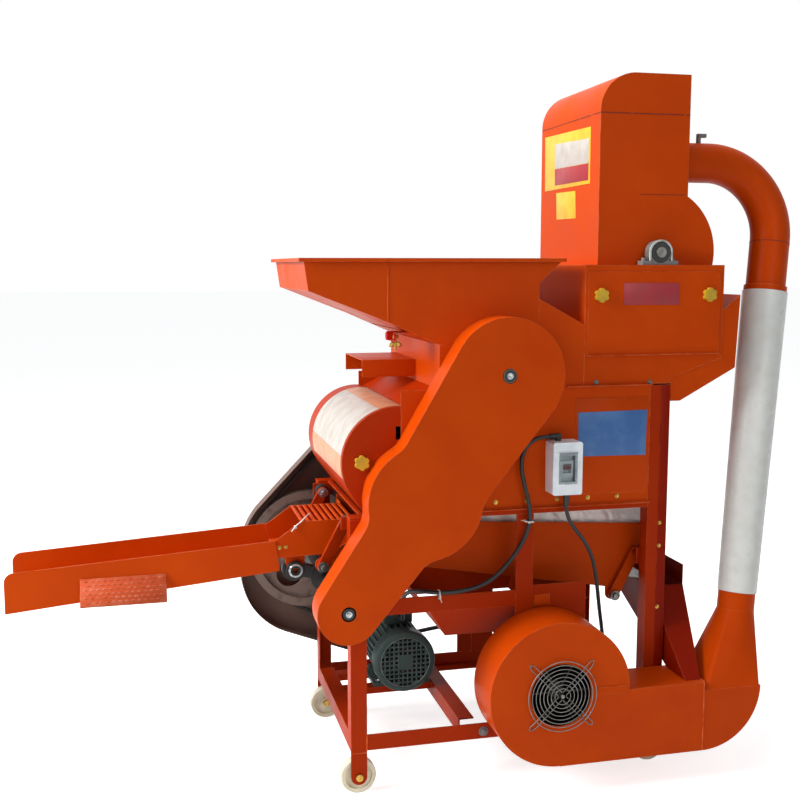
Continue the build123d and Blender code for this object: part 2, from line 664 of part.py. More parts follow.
def drive_belts():
    counter = (COUNTER_X, COUNTER_Z, COUNTER_PULLEY_R)
    jack = (JACK_X, JACK_Z, JACK_PULLEY_R)
    drum = (DRUM_X, DRUM_Z, DRUM_PULLEY_R)
    wheel_back = (COUNTER_X, COUNTER_Z, DRIVE_WHEEL_R)
    motor = (MOTOR_X, MOTOR_Z, MOTOR_PULLEY_R)
    return [
        belt(counter, jack, FRONT_PLANE_1),
        belt(jack, drum, FRONT_PLANE_2),
        belt(motor, wheel_back, BACK_PLANE_1),
        belt(wheel_back, (BLOWER_X, BLOWER_Z, BLOWER_PULLEY_R), BACK_PLANE_2),
        belt(motor, (LIFT_X, LIFT_Z, LIFT_PULLEY_R), BACK_PLANE_2),
        belt((DRUM_X, DRUM_Z, DRUM_BACK_PULLEY_R), (SECOND_X, SECOND_Z, SECOND_PULLEY_R), BACK_PLANE_1)]


# Bearings
def flange_bearing(x, z, shaft_d, face_y, outward, turn=0.0):
    """A two-bolt flange unit whose back lies on face_y and which stands out along Y."""
    across = BEARING_BOLT_SPAN / 2 * math.sin(math.radians(turn))
    rise_z = BEARING_BOLT_SPAN / 2 * math.cos(math.radians(turn))
    ears = ((x - across, z - rise_z), (x + across, z + rise_z))
    plate = hull((x, z, BEARING_R), (*ears[0], BEARING_EAR_R), (*ears[1], BEARING_EAR_R))
    flange = rise(plate, *sorted((face_y, face_y + outward * BEARING_FLANGE)))
    boss = rod(x, z, BEARING_R, *sorted((face_y, face_y + outward * BEARING_DEPTH)))
    bore = rod(x, z, shaft_d / 2 + RUN_GAP, face_y - BEARING_DEPTH * 2, face_y + BEARING_DEPTH * 2)
    unit = flange + boss - bore
    head_y = sorted((face_y + outward * BEARING_FLANGE, face_y + outward * (BEARING_FLANGE + BEARING_HEAD)))
    for ear_x, ear_z in ears:
        unit += rod(ear_x, ear_z, BEARING_EAR_R * 0.6, *head_y)
    return unit


def pillow_on_ledge(y):
    """A pillow block that stands on the ledge of the second chamber."""
    half = BEARING_BOLT_SPAN / 2 + BEARING_EAR_R
    y0 = y - PILLOW_DEPTH / 2
    y1 = y + PILLOW_DEPTH / 2
    base = slab(SECOND_X - half, SECOND_X + half, y0, y1, CHAMBER_TOP, CHAMBER_TOP + PILLOW_BASE)
    head = rod(SECOND_X, SECOND_Z, PILLOW_H - 10, y0, y1)
    head -= slab(SECOND_X - half, SECOND_X + half, y0 - 1, y1 + 1, CHAMBER_TOP - 60, CHAMBER_TOP)
    unit = base + head - rod(SECOND_X, SECOND_Z, SECOND_D / 2 + RUN_GAP, y0 - 1, y1 + 1)
    for x in (SECOND_X - half * 0.8, SECOND_X + half * 0.8):
        unit += Pos(x, y, CHAMBER_TOP + PILLOW_BASE + 4) * Cylinder(7, 8)
    return unit


def block_on_leg():
    """A bearing block bolted to the left face of a leg, round the counter shaft."""
    y0 = ANGLE_WALL + 3
    y1 = y0 + PILLOW_DEPTH
    half = BEARING_BOLT_SPAN / 2 + BEARING_EAR_R
    block = slab(-PILLOW_BASE, 0, y0, y1, COUNTER_Z - half, COUNTER_Z + half)
    block += rod(COUNTER_X, COUNTER_Z, BEARING_R + 3, y0, y1)
    block -= slab(0, BEARING_R * 2, y0 - 1, y1 + 1, COUNTER_Z - half, COUNTER_Z + half)
    return block - rod(COUNTER_X, COUNTER_Z, COUNTER_D / 2 + RUN_GAP, y0 - 1, y1 + 1)


def shaft_bearings():
    units = front_and_back(block_on_leg())
    for x, z, shaft_d, turn in ((DRUM_X, DRUM_Z, DRUM_D, 0), (BLOWER_X, BLOWER_Z, BLOWER_D, BLOWER_EAR_TURN)):
        units.append(flange_bearing(x, z, shaft_d, 0, -1, turn))
        units.append(flange_bearing(x, z, shaft_d, FRAME_DEPTH, 1, turn))
    units.append(flange_bearing(LIFT_X, LIFT_Z, LIFT_D, LIFT_BACK, 1))
    units.append(flange_bearing(LIFT_X, LIFT_Z, LIFT_D, FRAME_DEPTH, 1))
    units.append(pillow_on_ledge(LEDGE / 2))
    units.append(pillow_on_ledge(SETTLE_BACK + PILLOW_DEPTH))
    return units


# Shafts and rotors
def counter_shaft():
    shaft = rod(COUNTER_X, COUNTER_Z, COUNTER_D / 2, GUARD_FRONT_Y + 1, BACK_PLANE_2 + GROOVE_W)
    half = ROD_T / 2 + SIDE_GAP
    shaft += rod(COUNTER_X, ROD_HUB_Z, ECCENTRIC_R, ROD_Y - half, ROD_Y + half)
    for side in (ROD_Y - half - CHEEK_T, ROD_Y + half):
        shaft += rod(COUNTER_X, ROD_HUB_Z, CHEEK_R, side, side + CHEEK_T)
    pulley = grooved_pulley(COUNTER_X, COUNTER_Z, COUNTER_PULLEY_R, COUNTER_D, (FRONT_PLANE_1,))
    return [shaft, pulley]


def jack_pulley():
    return [grooved_pulley(JACK_X, JACK_Z, JACK_PULLEY_R, JACK_D, (FRONT_PLANE_1, FRONT_PLANE_2))]


def jack_axle():
    inner = FRONT_PLANE_1 + GROOVE_W / 2 + PULLEY_LAND
    outer = FRONT_PLANE_2 - GROOVE_W / 2 - PULLEY_LAND
    axle = rod(JACK_X, JACK_Z, JACK_D * 1.3, -6, 0)
    axle += rod(JACK_X, JACK_Z, JACK_D * 0.7, inner + SIDE_GAP, -6)
    axle += rod(JACK_X, JACK_Z, JACK_D / 2, outer - SIDE_GAP, inner + SIDE_GAP)
    return axle + rod(JACK_X, JACK_Z, JACK_D * 0.7, outer - SIDE_GAP - 6, outer - SIDE_GAP)


def beater_drum(x, z, radius, y0, y1, disc_t=6.0, bar=24.0):
    drum = rod(x, z, radius - bar / 2, y0, y0 + disc_t) + rod(x, z, radius - bar / 2, y1 - disc_t, y1)
    beater = slab(radius - bar, radius, y0, y1, -bar / 2, bar / 2)
    for index in range(4):
        drum += Pos(x, 0, z) * Rot(0, 45 + index * 90, 0) * beater
    return drum


def drum_rotor():
    shaft = rod(DRUM_X, DRUM_Z, DRUM_D / 2, GUARD_FRONT_Y + 1, BACK_PLANE_1 + GROOVE_W)
    shaft += beater_drum(DRUM_X, DRUM_Z, DRUM_R, DRUM_END_GAP, FRAME_DEPTH - DRUM_END_GAP)
    front = grooved_pulley(DRUM_X, DRUM_Z, DRUM_PULLEY_R, DRUM_D, (FRONT_PLANE_2,))
    back = grooved_pulley(DRUM_X, DRUM_Z, DRUM_BACK_PULLEY_R, DRUM_D, (BACK_PLANE_1,))
    return [shaft, front, back]


def blower_rotor():
    shaft = rod(BLOWER_X, BLOWER_Z, BLOWER_D / 2, -BEARING_DEPTH - 4, BACK_PLANE_2 + GROOVE_W)
    paddle = slab(0, BLOWER_ROTOR_R, 16, FRAME_DEPTH - 16, -1.5, 1.5)
    for index in range(BLOWER_PADDLES):
        turn = Rot(0, 20 + index * 360 / BLOWER_PADDLES, 0)
        shaft += Pos(BLOWER_X, 0, BLOWER_Z) * turn * paddle
    pulley = grooved_pulley(BLOWER_X, BLOWER_Z, BLOWER_PULLEY_R, BLOWER_D, (BACK_PLANE_2,))
    return [shaft, pulley]


def lift_impeller():
    plate_y = LIFT_BACK - 22
    hub_y = LIFT_FRONT + 45
    wheel_body = rod(LIFT_X, LIFT_Z, IMPELLER_R, plate_y, plate_y + 4)
    wheel_body += rod(LIFT_X, LIFT_Z, LIFT_D, hub_y, plate_y)
    blade = slab(LIFT_D * 0.8, IMPELLER_R, LIFT_FRONT + 25, plate_y, -2, 2)
    for index in range(IMPELLER_BLADES):
        wheel_body += Pos(LIFT_X, 0, LIFT_Z) * Rot(0, index * 360 / IMPELLER_BLADES, 0) * blade
    wheel_body -= rod(LIFT_X, LIFT_Z, LIFT_D / 2 + RUN_GAP, hub_y - 1, plate_y + 5)
    return [wheel_body]


def lift_shaft():
    shaft = rod(LIFT_X, LIFT_Z, LIFT_D / 2, LIFT_FRONT + 45, BACK_PLANE_2 + GROOVE_W)
    pulley = grooved_pulley(LIFT_X, LIFT_Z, LIFT_PULLEY_R, LIFT_D, (BACK_PLANE_2,))
    return [shaft, pulley]


def second_rotor():
    shaft = rod(SECOND_X, SECOND_Z, SECOND_D / 2, 1, BACK_PLANE_1 + GROOVE_W)
    gap = DRUM_END_GAP / 2
    shaft += beater_drum(SECOND_X, SECOND_Z, SECOND_R, SETTLE_FRONT + gap, SETTLE_BACK - gap)
    pulley = grooved_pulley(SECOND_X, SECOND_Z, SECOND_PULLEY_R, SECOND_D, (BACK_PLANE_1,))
    return [shaft, pulley]


def bar_screen(x, z, radius, first, last, count, y0, y1):
    """A round-bar concave: bars along Y held by three ribs bent to the drum's round."""
    middle = radius + CONCAVE_BAR / 2
    step = (last - first) / (count - 1)
    screen = None
    for y in (y0 + 40, (y0 + y1) / 2, y1 - 46):
        rib = disc(x, z, middle + 9) - disc(x, z, middle)
        corner = math.radians(first)
        cut = outline([(x - 3 * radius, z + middle * math.sin(corner)), (x + 3 * radius, z + middle
                      * math.sin(corner)), (x + 3 * radius, z + 3 * radius), (x - 3 * radius, z + 3 * radius)])
        rib = rise(rib - cut, y, y + 6)
        screen = rib if screen is None else screen + rib
    for index in range(count):
        angle = math.radians(first + index * step)
        screen += rod(x + middle * math.cos(angle), z + middle * math.sin(angle), CONCAVE_BAR / 2, y0, y1)
    return screen


def concave_screens():
    first = bar_screen(DRUM_X, DRUM_Z, CONCAVE_R, 193, 347, CONCAVE_BARS, SHEET, FRAME_DEPTH - SHEET)
    second = bar_screen(SECOND_X, SECOND_Z, SECOND_CONCAVE_R, 199, 341, CONCAVE_BARS,
                        SHEET, FRAME_DEPTH - SHEET)
    return [first, second]


# Belt guards
def front_guard_outline(inset):
    """Three round lobes over the pulleys, joined by necks with hollow fillets between."""
    low = (COUNTER_X, COUNTER_Z, GUARD_LOW_R - inset)
    high = (DRUM_X, DRUM_Z, GUARD_HIGH_R - inset)
    face = hull(low, (JACK_X, JACK_Z, GUARD_LOW_NECK_R - inset))
    face += hull((JACK_X, JACK_Z, GUARD_HIGH_NECK_R - inset), high)
    face += disc(JACK_X, JACK_Z, GUARD_MID_R - inset)
    middle = Vector(JACK_X, JACK_Z)
    hollows = [v for v in face.vertices() if abs((Vector(v.X, v.Y) - middle).length - GUARD_MID_R + inset) < 1]
    return fillet(hollows, GUARD_WAVE_R + inset)


def front_belt_guard():
    shell = rise(front_guard_outline(0), GUARD_FRONT_Y, 0)
    shell -= rise(front_guard_outline(GUARD_WALL), GUARD_FRONT_Y + GUARD_WALL, 1)
    for x, z in ((COUNTER_X, COUNTER_Z), (DRUM_X, DRUM_Z)):
        shell -= rod(x, z, GUARD_HOLE / 2 + 2, GUARD_FRONT_Y - 1, GUARD_FRONT_Y + GUARD_WALL + 1)
    return [shell]


def rear_guard_outline(inset):
    low = (COUNTER_X, COUNTER_Z, REAR_GUARD_R - 8 - inset)
    drop = (COUNTER_X + 5, COUNTER_Z - REAR_GUARD_DROP, REAR_GUARD_R - inset)
    top = (BLOWER_X, BLOWER_Z, REAR_GUARD_TOP_R - inset)
    motor = (MOTOR_X, MOTOR_Z, REAR_GUARD_MOTOR_R - inset)
    return hull(low, drop, top) + hull(drop, motor)


def rear_belt_guard():
    shell = rise(rear_guard_outline(0), REAR_GUARD_Y0, REAR_GUARD_Y1)
    shell -= rise(rear_guard_outline(GUARD_WALL), REAR_GUARD_Y0 - 1, REAR_GUARD_Y1 - GUARD_WALL)
    gap = MOTOR_PULLEY_R + 12
    shell -= slab(MOTOR_X + MOTOR_PULLEY_R, MOTOR_X + REAR_GUARD_MOTOR_R + 5, REAR_GUARD_Y0 - 1,
                  REAR_GUARD_Y1 - GUARD_WALL, MOTOR_Z - gap, MOTOR_Z + gap)
    for x, z in ((ANGLE / 2, COUNTER_Z - 278), (ANGLE / 2, COUNTER_Z + 209), (75, 850)):
        shell += rod(x, z, STANDOFF_R, FRAME_DEPTH, REAR_GUARD_Y1 - GUARD_WALL)
    return [shell]


# Separation box, blower and drum housing
def shaft_hole(x, z, shaft_d):
    return rod(x, z, shaft_d / 2 + HOLE_GAP, -5, FRAME_DEPTH + 5)


def separation_box():
    front = slab(BOX_LEFT, POST_X, 0, SHEET, DECK_Z, BOX_TOP)
    front += slab(JACK_X + GUARD_MID_R + BOX_FLANGE, POST_X, -BOX_FLANGE, 0, DECK_Z, DECK_Z + SHEET * 1.5)
    front += slab(DRUM_RIGHT + BOX_FLANGE, POST_X, -BOX_FLANGE, 0, BOX_TOP - SHEET * 1.5, BOX_TOP)
    back = to_back(slab(BOX_LEFT, POST_X, 0, SHEET, DECK_Z, BOX_TOP))
    right = slab(FRAME_LENGTH - ANGLE_WALL, FRAME_LENGTH, ANGLE, FRAME_DEPTH - ANGLE, DECK_Z, CHUTE_FLOOR_Z)
    walls = []
    for wall in (front, back):
        walls.append(wall - shaft_hole(BLOWER_X, BLOWER_Z, BLOWER_D))
    run = Plane(origin=(SKIRT_LEFT, 0, 0), x_dir=(0, 1, 0), z_dir=(1, 0, 0))
    low_y = SIEVE_Y0 + SIEVE_WALL + 3
    guide_points = [(SHEET, GUIDE_Z), (low_y, DECK_Z), (low_y + SHEET, DECK_Z), (SHEET, GUIDE_Z + SHEET * 2)]
    guide = extrude(run * outline(guide_points), amount=POST_X - SKIRT_LEFT)
    return walls + [right] + front_and_back(guide) + [jack_axle()]


def dust_skirt():
    low_y = SIEVE_Y0 + SIEVE_WALL + 3
    cloth = slab(SKIRT_LEFT, POST_X - 12, low_y, low_y + SHEET, SKIRT_BOTTOM, DECK_Z)
    return front_and_back(cloth)


def blower_housing():
    start = math.radians(220)
    stop = math.radians(80)
    first = (BLOWER_X + BLOWER_R * math.cos(start), BLOWER_Z + BLOWER_R * math.sin(start))
    last = (BLOWER_X + BLOWER_R * math.cos(stop), BLOWER_Z + BLOWER_R * math.sin(stop))
    top_mid = (BLOWER_X - BLOWER_R, BLOWER_Z)
    toe = (first[0] + 36, DECK_Z)
    right = last[0] + SHEET
    side = make_face([ThreePointArc(first, top_mid, last),
                      Polyline(last, (right, last[1]), (right, DECK_Z), toe, first)])
    left = BLOWER_X - BLOWER_R * 2
    side = side & outline([(left, DECK_Z), (BOX_LEFT, DECK_Z), (BOX_LEFT, BOX_TOP), (left, BOX_TOP)])
    front = rise(side, 0, SHEET) - shaft_hole(BLOWER_X, BLOWER_Z, BLOWER_D)
    front -= slab(BOX_LEFT - 14, BOX_LEFT + 1, -1, SHEET + 1, BLOWER_Z + 62, BLOWER_Z + 98)
    front -= rod(BLOWER_KNOB_X, BLOWER_KNOB_Z, KNOB_STUD_D / 2 + BOLT_GAP, -1, SHEET + 1)
    wrap = disc(BLOWER_X, BLOWER_Z, BLOWER_R) - disc(BLOWER_X, BLOWER_Z, BLOWER_R - SHEET)
    wedge = outline([(BLOWER_X, BLOWER_Z), (BLOWER_X + 400 * math.cos(start), BLOWER_Z + 400 * math.sin(start)),
                     (BLOWER_X - 400, BLOWER_Z), (BLOWER_X - 400, BLOWER_Z + 400),
                     (BLOWER_X + 400 * math.cos(stop), BLOWER_Z + 400 * math.sin(stop))])
    skin = rise(wrap & wedge, SHEET, FRAME_DEPTH - SHEET)
    lid = folded([last, (DRUM_LEFT, BOX_TOP)], SHEET, SHEET, FRAME_DEPTH - SHEET)
    foot = folded([(toe[0], DECK_Z), first], SHEET, SHEET, FRAME_DEPTH - SHEET)
    return front_and_back(front) + [skin, lid, foot]


def drum_housing():
    roof_line = [(HOPPER_THROAT_X, PASS_TOP_Z), (CHAMBER_LEFT, PASS_LOW_Z)]
    wall = panel([(DRUM_LEFT, BOX_TOP), (CHAMBER_LEFT, BOX_TOP)] + roof_line[::-1]
                 + [(HOPPER_THROAT_X, DRUM_TOP), (DRUM_LEFT, DRUM_TOP)], 0, SHEET)
    wall -= shaft_hole(DRUM_X, DRUM_Z, DRUM_D)
    left = slab(DRUM_LEFT, DRUM_LEFT + SHEET, SHEET, FRAME_DEPTH - SHEET, BOX_TOP, DRUM_TOP)
    roof_start = (HOPPER_THROAT_X + SHEET / 2, PASS_TOP_Z - SHEET / 4)
    roof = folded([roof_start, roof_line[1]], SHEET, SHEET, FRAME_DEPTH - SHEET)
    bridge = slab(DRUM_RIGHT, CHAMBER_LEFT, SHEET, FRAME_DEPTH - SHEET, BOX_TOP, BOX_TOP + SHEET)
    x0 = DRUM_LEFT - HOOD_LENGTH
    y0 = FRAME_DEPTH - HOOD_BACK - HOOD_WIDTH
    z0 = BOX_TOP + HOOD_RISE
    z1 = z0 + HOOD_HEIGHT
    hood = slab(x0, DRUM_LEFT, y0, y0 + HOOD_WIDTH, z0, z1)
    hood -= slab(x0 - 1, DRUM_LEFT + 1, y0 + SHEET, y0 + HOOD_WIDTH - SHEET, z0 - 1, z1 - SHEET)
    return front_and_back(wall) + [left, roof, bridge, hood]


def hopper():
    floor_line = [(HOPPER_LEFT + 12, HOPPER_END_Z), (HOPPER_KINK_X, HOPPER_KINK_Z), (DRUM_LEFT, DRUM_TOP)]
    face = [(HOPPER_LEFT, HOPPER_RIM_Z)] + floor_line
    throat_line = [(HOPPER_RIGHT, HOPPER_RIM_Z), (HOPPER_THROAT_X, HOPPER_THROAT_Z), (HOPPER_THROAT_X, DRUM_TOP)]
    face += throat_line[::-1]
    rim_z = HOPPER_RIM_Z - SHEET
    rim_x = HOPPER_LEFT - HOPPER_RIM
    wall = panel(face, 0, SHEET)
    wall += slab(rim_x, HOPPER_RIGHT, -HOPPER_RIM, 0, rim_z, HOPPER_RIM_Z)
    wall += slab(rim_x, HOPPER_RIGHT, -HOPPER_RIM, SHEET - HOPPER_RIM, rim_z - HOPPER_RIM_DROP, rim_z)
    inner = (SHEET, FRAME_DEPTH - SHEET)
    floor = folded([(HOPPER_LEFT, HOPPER_RIM_Z)] + floor_line, -SHEET, *inner)
    floor += slab(rim_x, HOPPER_LEFT + SHEET / 2, *inner, rim_z, HOPPER_RIM_Z)
    floor += slab(rim_x, rim_x + SHEET, *inner, rim_z - HOPPER_RIM_DROP, rim_z)
    slit_y = FEED_SLOT_Y0 - 12
    share = (GATE_Z - HOPPER_KINK_Z) / (DRUM_TOP - HOPPER_KINK_Z)
    slit_x = HOPPER_KINK_X + share * (DRUM_LEFT - HOPPER_KINK_X)
    floor -= slab(slit_x - 30, slit_x + 30, slit_y, FRAME_DEPTH - slit_y, GATE_Z - SHEET, GATE_Z + GATE_T + 1)
    right = folded(throat_line, SHEET, *inner)
    plate = slab(slit_x + 34, HOPPER_THROAT_X - SHEET, *inner, GATE_Z - SHEET, GATE_Z)
    plate -= slab(FEED_SLOT_X0, FEED_SLOT_X1, FEED_SLOT_Y0, FRAME_DEPTH - FEED_SLOT_Y0, GATE_Z - 5, GATE_Z + 5)
    return front_and_back(wall) + [floor, right, plate]


def feed_gate():
    y0 = FEED_SLOT_Y0 - 10
    tail = FEED_SLOT_X0 - GATE_TAIL
    z0 = GATE_Z + 0.3
    z1 = z0 + GATE_T - 1
    gate = slab(FEED_SLOT_X0 - GATE_LAP, FEED_SLOT_X1 + 12, y0, FRAME_DEPTH - y0, z0, z1)
    handle = slab(tail, FEED_SLOT_X0 - GATE_LAP, y0, GATE_TAIL_Y, z0, z1)
    handle += slab(tail - 3, tail, 20, GATE_TAIL_Y, GATE_Z - 22, z1)
    grip = Pos(tail - 12, 40, GATE_Z - 6) * Rot(0, 90, 0) * Cylinder(11, 18)
    return [gate + handle + grip]


# Second chamber and settling box
def second_chamber():
    face = [(CHAMBER_LEFT, BOX_TOP), (FRAME_LENGTH, BOX_TOP), (FRAME_LENGTH, CHAMBER_STEP_Z),
            (CHAMBER_RIGHT, CHAMBER_SIDE_Z), (CHAMBER_RIGHT, CHAMBER_TOP), (CHAMBER_LEFT, CHAMBER_TOP)]
    wall = panel(face, 0, SHEET)
    inner = (SHEET, FRAME_DEPTH - SHEET)
    cover = screen_cover_outline()
    front = wall
    for x in COVER_KNOB_X:
        front -= rod(x, COVER_KNOB_Z, KNOB_STUD_D / 2 + BOLT_GAP, -1, SHEET + 1)
    front -= panel([(cover[0] + 30, cover[2] + 25), (cover[1] - 30, cover[2] + 25),
                    (cover[1] - 30, COVER_KNOB_Z - 40), (cover[0] + 30, COVER_KNOB_Z - 40)], -1, SHEET + 1)
    left = slab(CHAMBER_LEFT, CHAMBER_LEFT + SHEET, *inner, BOX_TOP, CHAMBER_TOP)
    left -= slab(CHAMBER_LEFT - 1, CHAMBER_LEFT + SHEET + 1, PASS_SIDE, FRAME_DEPTH - PASS_SIDE,
                 BOX_TOP + SHEET * 2, PASS_LOW_Z - SHEET * 2)
    right = folded([(FRAME_LENGTH, CHAMBER_STEP_Z), (CHAMBER_RIGHT, CHAMBER_SIDE_Z),
                    (CHAMBER_RIGHT, CHAMBER_TOP)], -SHEET, *inner)
    ledge = slab(CHAMBER_LEFT + SHEET, CHAMBER_RIGHT - SHEET, SHEET, LEDGE, CHAMBER_TOP - SHEET, CHAMBER_TOP)
    back_ledge = slab(CHAMBER_LEFT + SHEET, CHAMBER_RIGHT - SHEET, SETTLE_BACK, FRAME_DEPTH - SHEET,
                      CHAMBER_TOP - SHEET, CHAMBER_TOP)
    side = slab(CHAMBER_LEFT + SHEET, SETTLE_LEFT, LEDGE, SETTLE_BACK, CHAMBER_TOP - SHEET, CHAMBER_TOP)
    return [front, to_back(wall), left, right, ledge, back_ledge, side]


def screen_cover_outline():
    return (CHAMBER_LEFT + 8, CHAMBER_RIGHT - 12, CHAMBER_SIDE_Z + 12, CHAMBER_TOP - 18)


def screen_cover():
    x0, x1, z0, z1 = screen_cover_outline()
    plate = slab(x0, x1, -COVER_T, 0, z0, z1)
    plate += slab(x0, x1, -COVER_T - 8, -COVER_T, z0, z0 + COVER_T)
    for x in COVER_KNOB_X:
        plate -= rod(x, COVER_KNOB_Z, KNOB_STUD_D / 2 + BOLT_GAP, -COVER_T - 1, 1)
    return [plate]


def star_knob(x, z, face_y, stud_end):
    """A lobed knob in front of face_y on a threaded stud that reaches back to stud_end."""
    star = disc(x, z, KNOB_R - KNOB_LOBE_R * 0.6)
    for index in range(KNOB_LOBES):
        angle = math.radians(90 + index * 360 / KNOB_LOBES)
        place = KNOB_R - KNOB_LOBE_R
        star += disc(x + place * math.cos(angle), z + place * math.sin(angle), KNOB_LOBE_R)
    knob = rise(star, face_y - BOLT_GAP - KNOB_T, face_y - BOLT_GAP)
    return [knob + rod(x, z, KNOB_STUD_D / 2, face_y - BOLT_GAP, stud_end)]


def settling_face(inset=0.0):
    """Outline of the settling box with its round bulge over the second drum."""
    bulge = disc(SECOND_X, SECOND_Z, SETTLE_BULGE_R - inset)
    column = outline([(SETTLE_LEFT + inset, CHAMBER_TOP), (SETTLE_LEFT + inset, SETTLE_TOP),
                      (SETTLE_RIGHT - inset, SETTLE_TOP), (SETTLE_RIGHT - inset, CHAMBER_TOP)])
    keep = outline([(SETTLE_LEFT + inset, CHAMBER_TOP), (SETTLE_LEFT + inset, SETTLE_TOP),
                    (FRAME_LENGTH + 400, SETTLE_TOP), (FRAME_LENGTH + 400, CHAMBER_TOP)])
    return (bulge & keep) + column


def settling_box():
    face = settling_face()
    front = rise(face, SETTLE_FRONT, SETTLE_FRONT + SHEET)
    back = rise(face, SETTLE_BACK - SHEET, SETTLE_BACK)
    band = rise(face - settling_face(SHEET), SETTLE_FRONT + SHEET, SETTLE_BACK - SHEET)
    for y0, y1 in ((SETTLE_FRONT - 1, SETTLE_FRONT + SHEET + 1), (SETTLE_BACK - SHEET - 1, SETTLE_BACK + 1)):
        hole = rod(SECOND_X, SECOND_Z, SECOND_D / 2 + HOLE_GAP, y0, y1)
        front -= hole
        back -= hole
    start = top_elbow_points()[0]
    port = Pos(SETTLE_RIGHT, start[1], start[2]) * Rot(0, 90, 0) * Cylinder(TOP_PIPE_R - 4, 40)
    return [front, back, band - port]


def cap_face(inset):
    corner = (SETTLE_LEFT + CAP_CORNER_R, CAP_TOP - CAP_CORNER_R)
    radius = CAP_CORNER_R - inset
    left = (SETTLE_LEFT + inset, corner[1])
    top = (corner[0], CAP_TOP - inset)
    bend = (corner[0] - radius * math.sqrt(0.5), corner[1] + radius * math.sqrt(0.5))
    sides = Polyline(top, (SETTLE_RIGHT - inset, CAP_TOP - inset), (SETTLE_RIGHT - inset, SETTLE_TOP),
                     (SETTLE_LEFT + inset, SETTLE_TOP), left)
    return make_face([sides, ThreePointArc(left, bend, top)])


def settling_cap():
    shell = rise(cap_face(0), SETTLE_FRONT, SETTLE_BACK)
    return [shell - rise(cap_face(SHEET), SETTLE_FRONT + SHEET, SETTLE_BACK - SHEET)]


def shell_chute():
    face = [(FRAME_LENGTH, CHUTE_FLOOR_Z), (CHUTE_FLOOR_X, CHUTE_FLOOR_Z),
            (CHUTE_MOUTH_X - 10, CHUTE_MOUTH_LOW), (CHUTE_MOUTH_X, CHUTE_MOUTH_TOP),
            (CHAMBER_RIGHT, CHUTE_ROOF_Z), (CHAMBER_RIGHT, CHAMBER_SIDE_Z),
            (FRAME_LENGTH, CHAMBER_STEP_Z)]
    cheek = panel(face, SHEET, SHEET * 2)
    inner = (SHEET * 2, FRAME_DEPTH - SHEET * 2)
    floor = folded(face[0:3], -SHEET, *inner)
    roof = folded([face[4], face[3]], SHEET, *inner)
    return front_and_back(cheek) + [floor, roof]


# Lift fan and tube
def lift_face(inset):
    duct = outline([(LIFT_X, DUCT_LOW + inset), (ELBOW_X, DUCT_LOW + inset),
                    (ELBOW_X, DUCT_TOP - inset), (LIFT_X, DUCT_TOP - inset)])
    return disc(LIFT_X, LIFT_Z, LIFT_R - inset) + duct


def lift_fan_housing():
    shell = rise(lift_face(0), LIFT_FRONT, LIFT_BACK)
    inner = rise(lift_face(SHEET), LIFT_FRONT + SHEET, LIFT_BACK - SHEET)
    shell -= inner
    shell -= slab(ELBOW_X - SHEET - 1, ELBOW_X + 1, LIFT_FRONT + SHEET, LIFT_BACK - SHEET,
                  DUCT_LOW + SHEET, DUCT_TOP - SHEET)
    shell -= rod(LIFT_X, LIFT_Z, INLET_R - INLET_RIM, LIFT_FRONT - 1, LIFT_FRONT + SHEET + 1)
    shell -= rod(LIFT_X, LIFT_Z, LIFT_D / 2 + HOLE_GAP, LIFT_BACK - SHEET - 1, LIFT_BACK + 1)
    x0, x1, y0, y1 = pod_mouth()
    shell -= slab(x0, x1, y0, y1, DUCT_TOP - SHEET - 1, DUCT_TOP + 1)
    return [shell]


def pod_mouth():
    """Opening in the top of the duct where the pods drop in."""
    return (FRAME_LENGTH + POD_CHUTE_GAP, ELBOW_X - SHEET, LIFT_FRONT + 20, LIFT_BACK - 14)


def finger_guard():
    y0 = LIFT_FRONT - FINGER_DEPTH
    wire = FINGER_WIRE / 2
    step = (INLET_R - FINGER_HUB_R) / FINGER_RINGS
    rings = [FINGER_HUB_R + step * (index + 1) for index in range(FINGER_RINGS)]
    guard = None
    for radius in rings:
        loop = tube(LIFT_X, LIFT_Z, radius + wire, radius - wire, y0, y0 + FINGER_WIRE)
        guard = loop if guard is None else guard + loop
    guard += rod(LIFT_X, LIFT_Z, FINGER_HUB_R, y0, y0 + FINGER_WIRE)
    y1 = y0 + 1
    for side in (-FINGER_PAIR / 2, FINGER_PAIR / 2):
        spoke = slab(FINGER_HUB_R / 2, FINGER_FOOT_R, y1, y1 + FINGER_WIRE, side - wire, side + wire)
        spoke += slab(FINGER_FOOT_R - FINGER_WIRE, FINGER_FOOT_R, y1, LIFT_FRONT, side - wire, side + wire)
        for index in range(FINGER_SPOKES):
            turn = Pos(LIFT_X, 0, LIFT_Z) * Rot(0, (index + 0.5) * 360 / FINGER_SPOKES, 0)
            guard += turn * spoke
    return [guard]


def elbow_face(inset):
    corner = (ELBOW_X, elbow_top_z())
    right = corner[0] + ELBOW_R * 2
    low = corner[1] - ELBOW_R * 2
    quarter = outline([corner, (right, corner[1]), (right, low), (corner[0], low)])
    return disc(*corner, ELBOW_R - inset) & quarter


def elbow_top_z():
    return DUCT_LOW + ELBOW_R


def lift_way():
    return (Vector(*TUBE_TOP) - Vector(*TUBE_LOW)).normalized()


def lift_elbow():
    shell = rise(elbow_face(0), LIFT_FRONT, LIFT_BACK)
    shell -= rise(elbow_face(SHEET), LIFT_FRONT + SHEET, LIFT_BACK - SHEET)
    top = elbow_top_z()
    lip = slab(ELBOW_X, ELBOW_X + SHEET, LIFT_FRONT, LIFT_BACK, top, DUCT_TOP)
    reducer = reducer_body(0, COLLAR_R) - reducer_body(SHEET, COLLAR_R - SHEET)
    return [shell, reducer, lip]


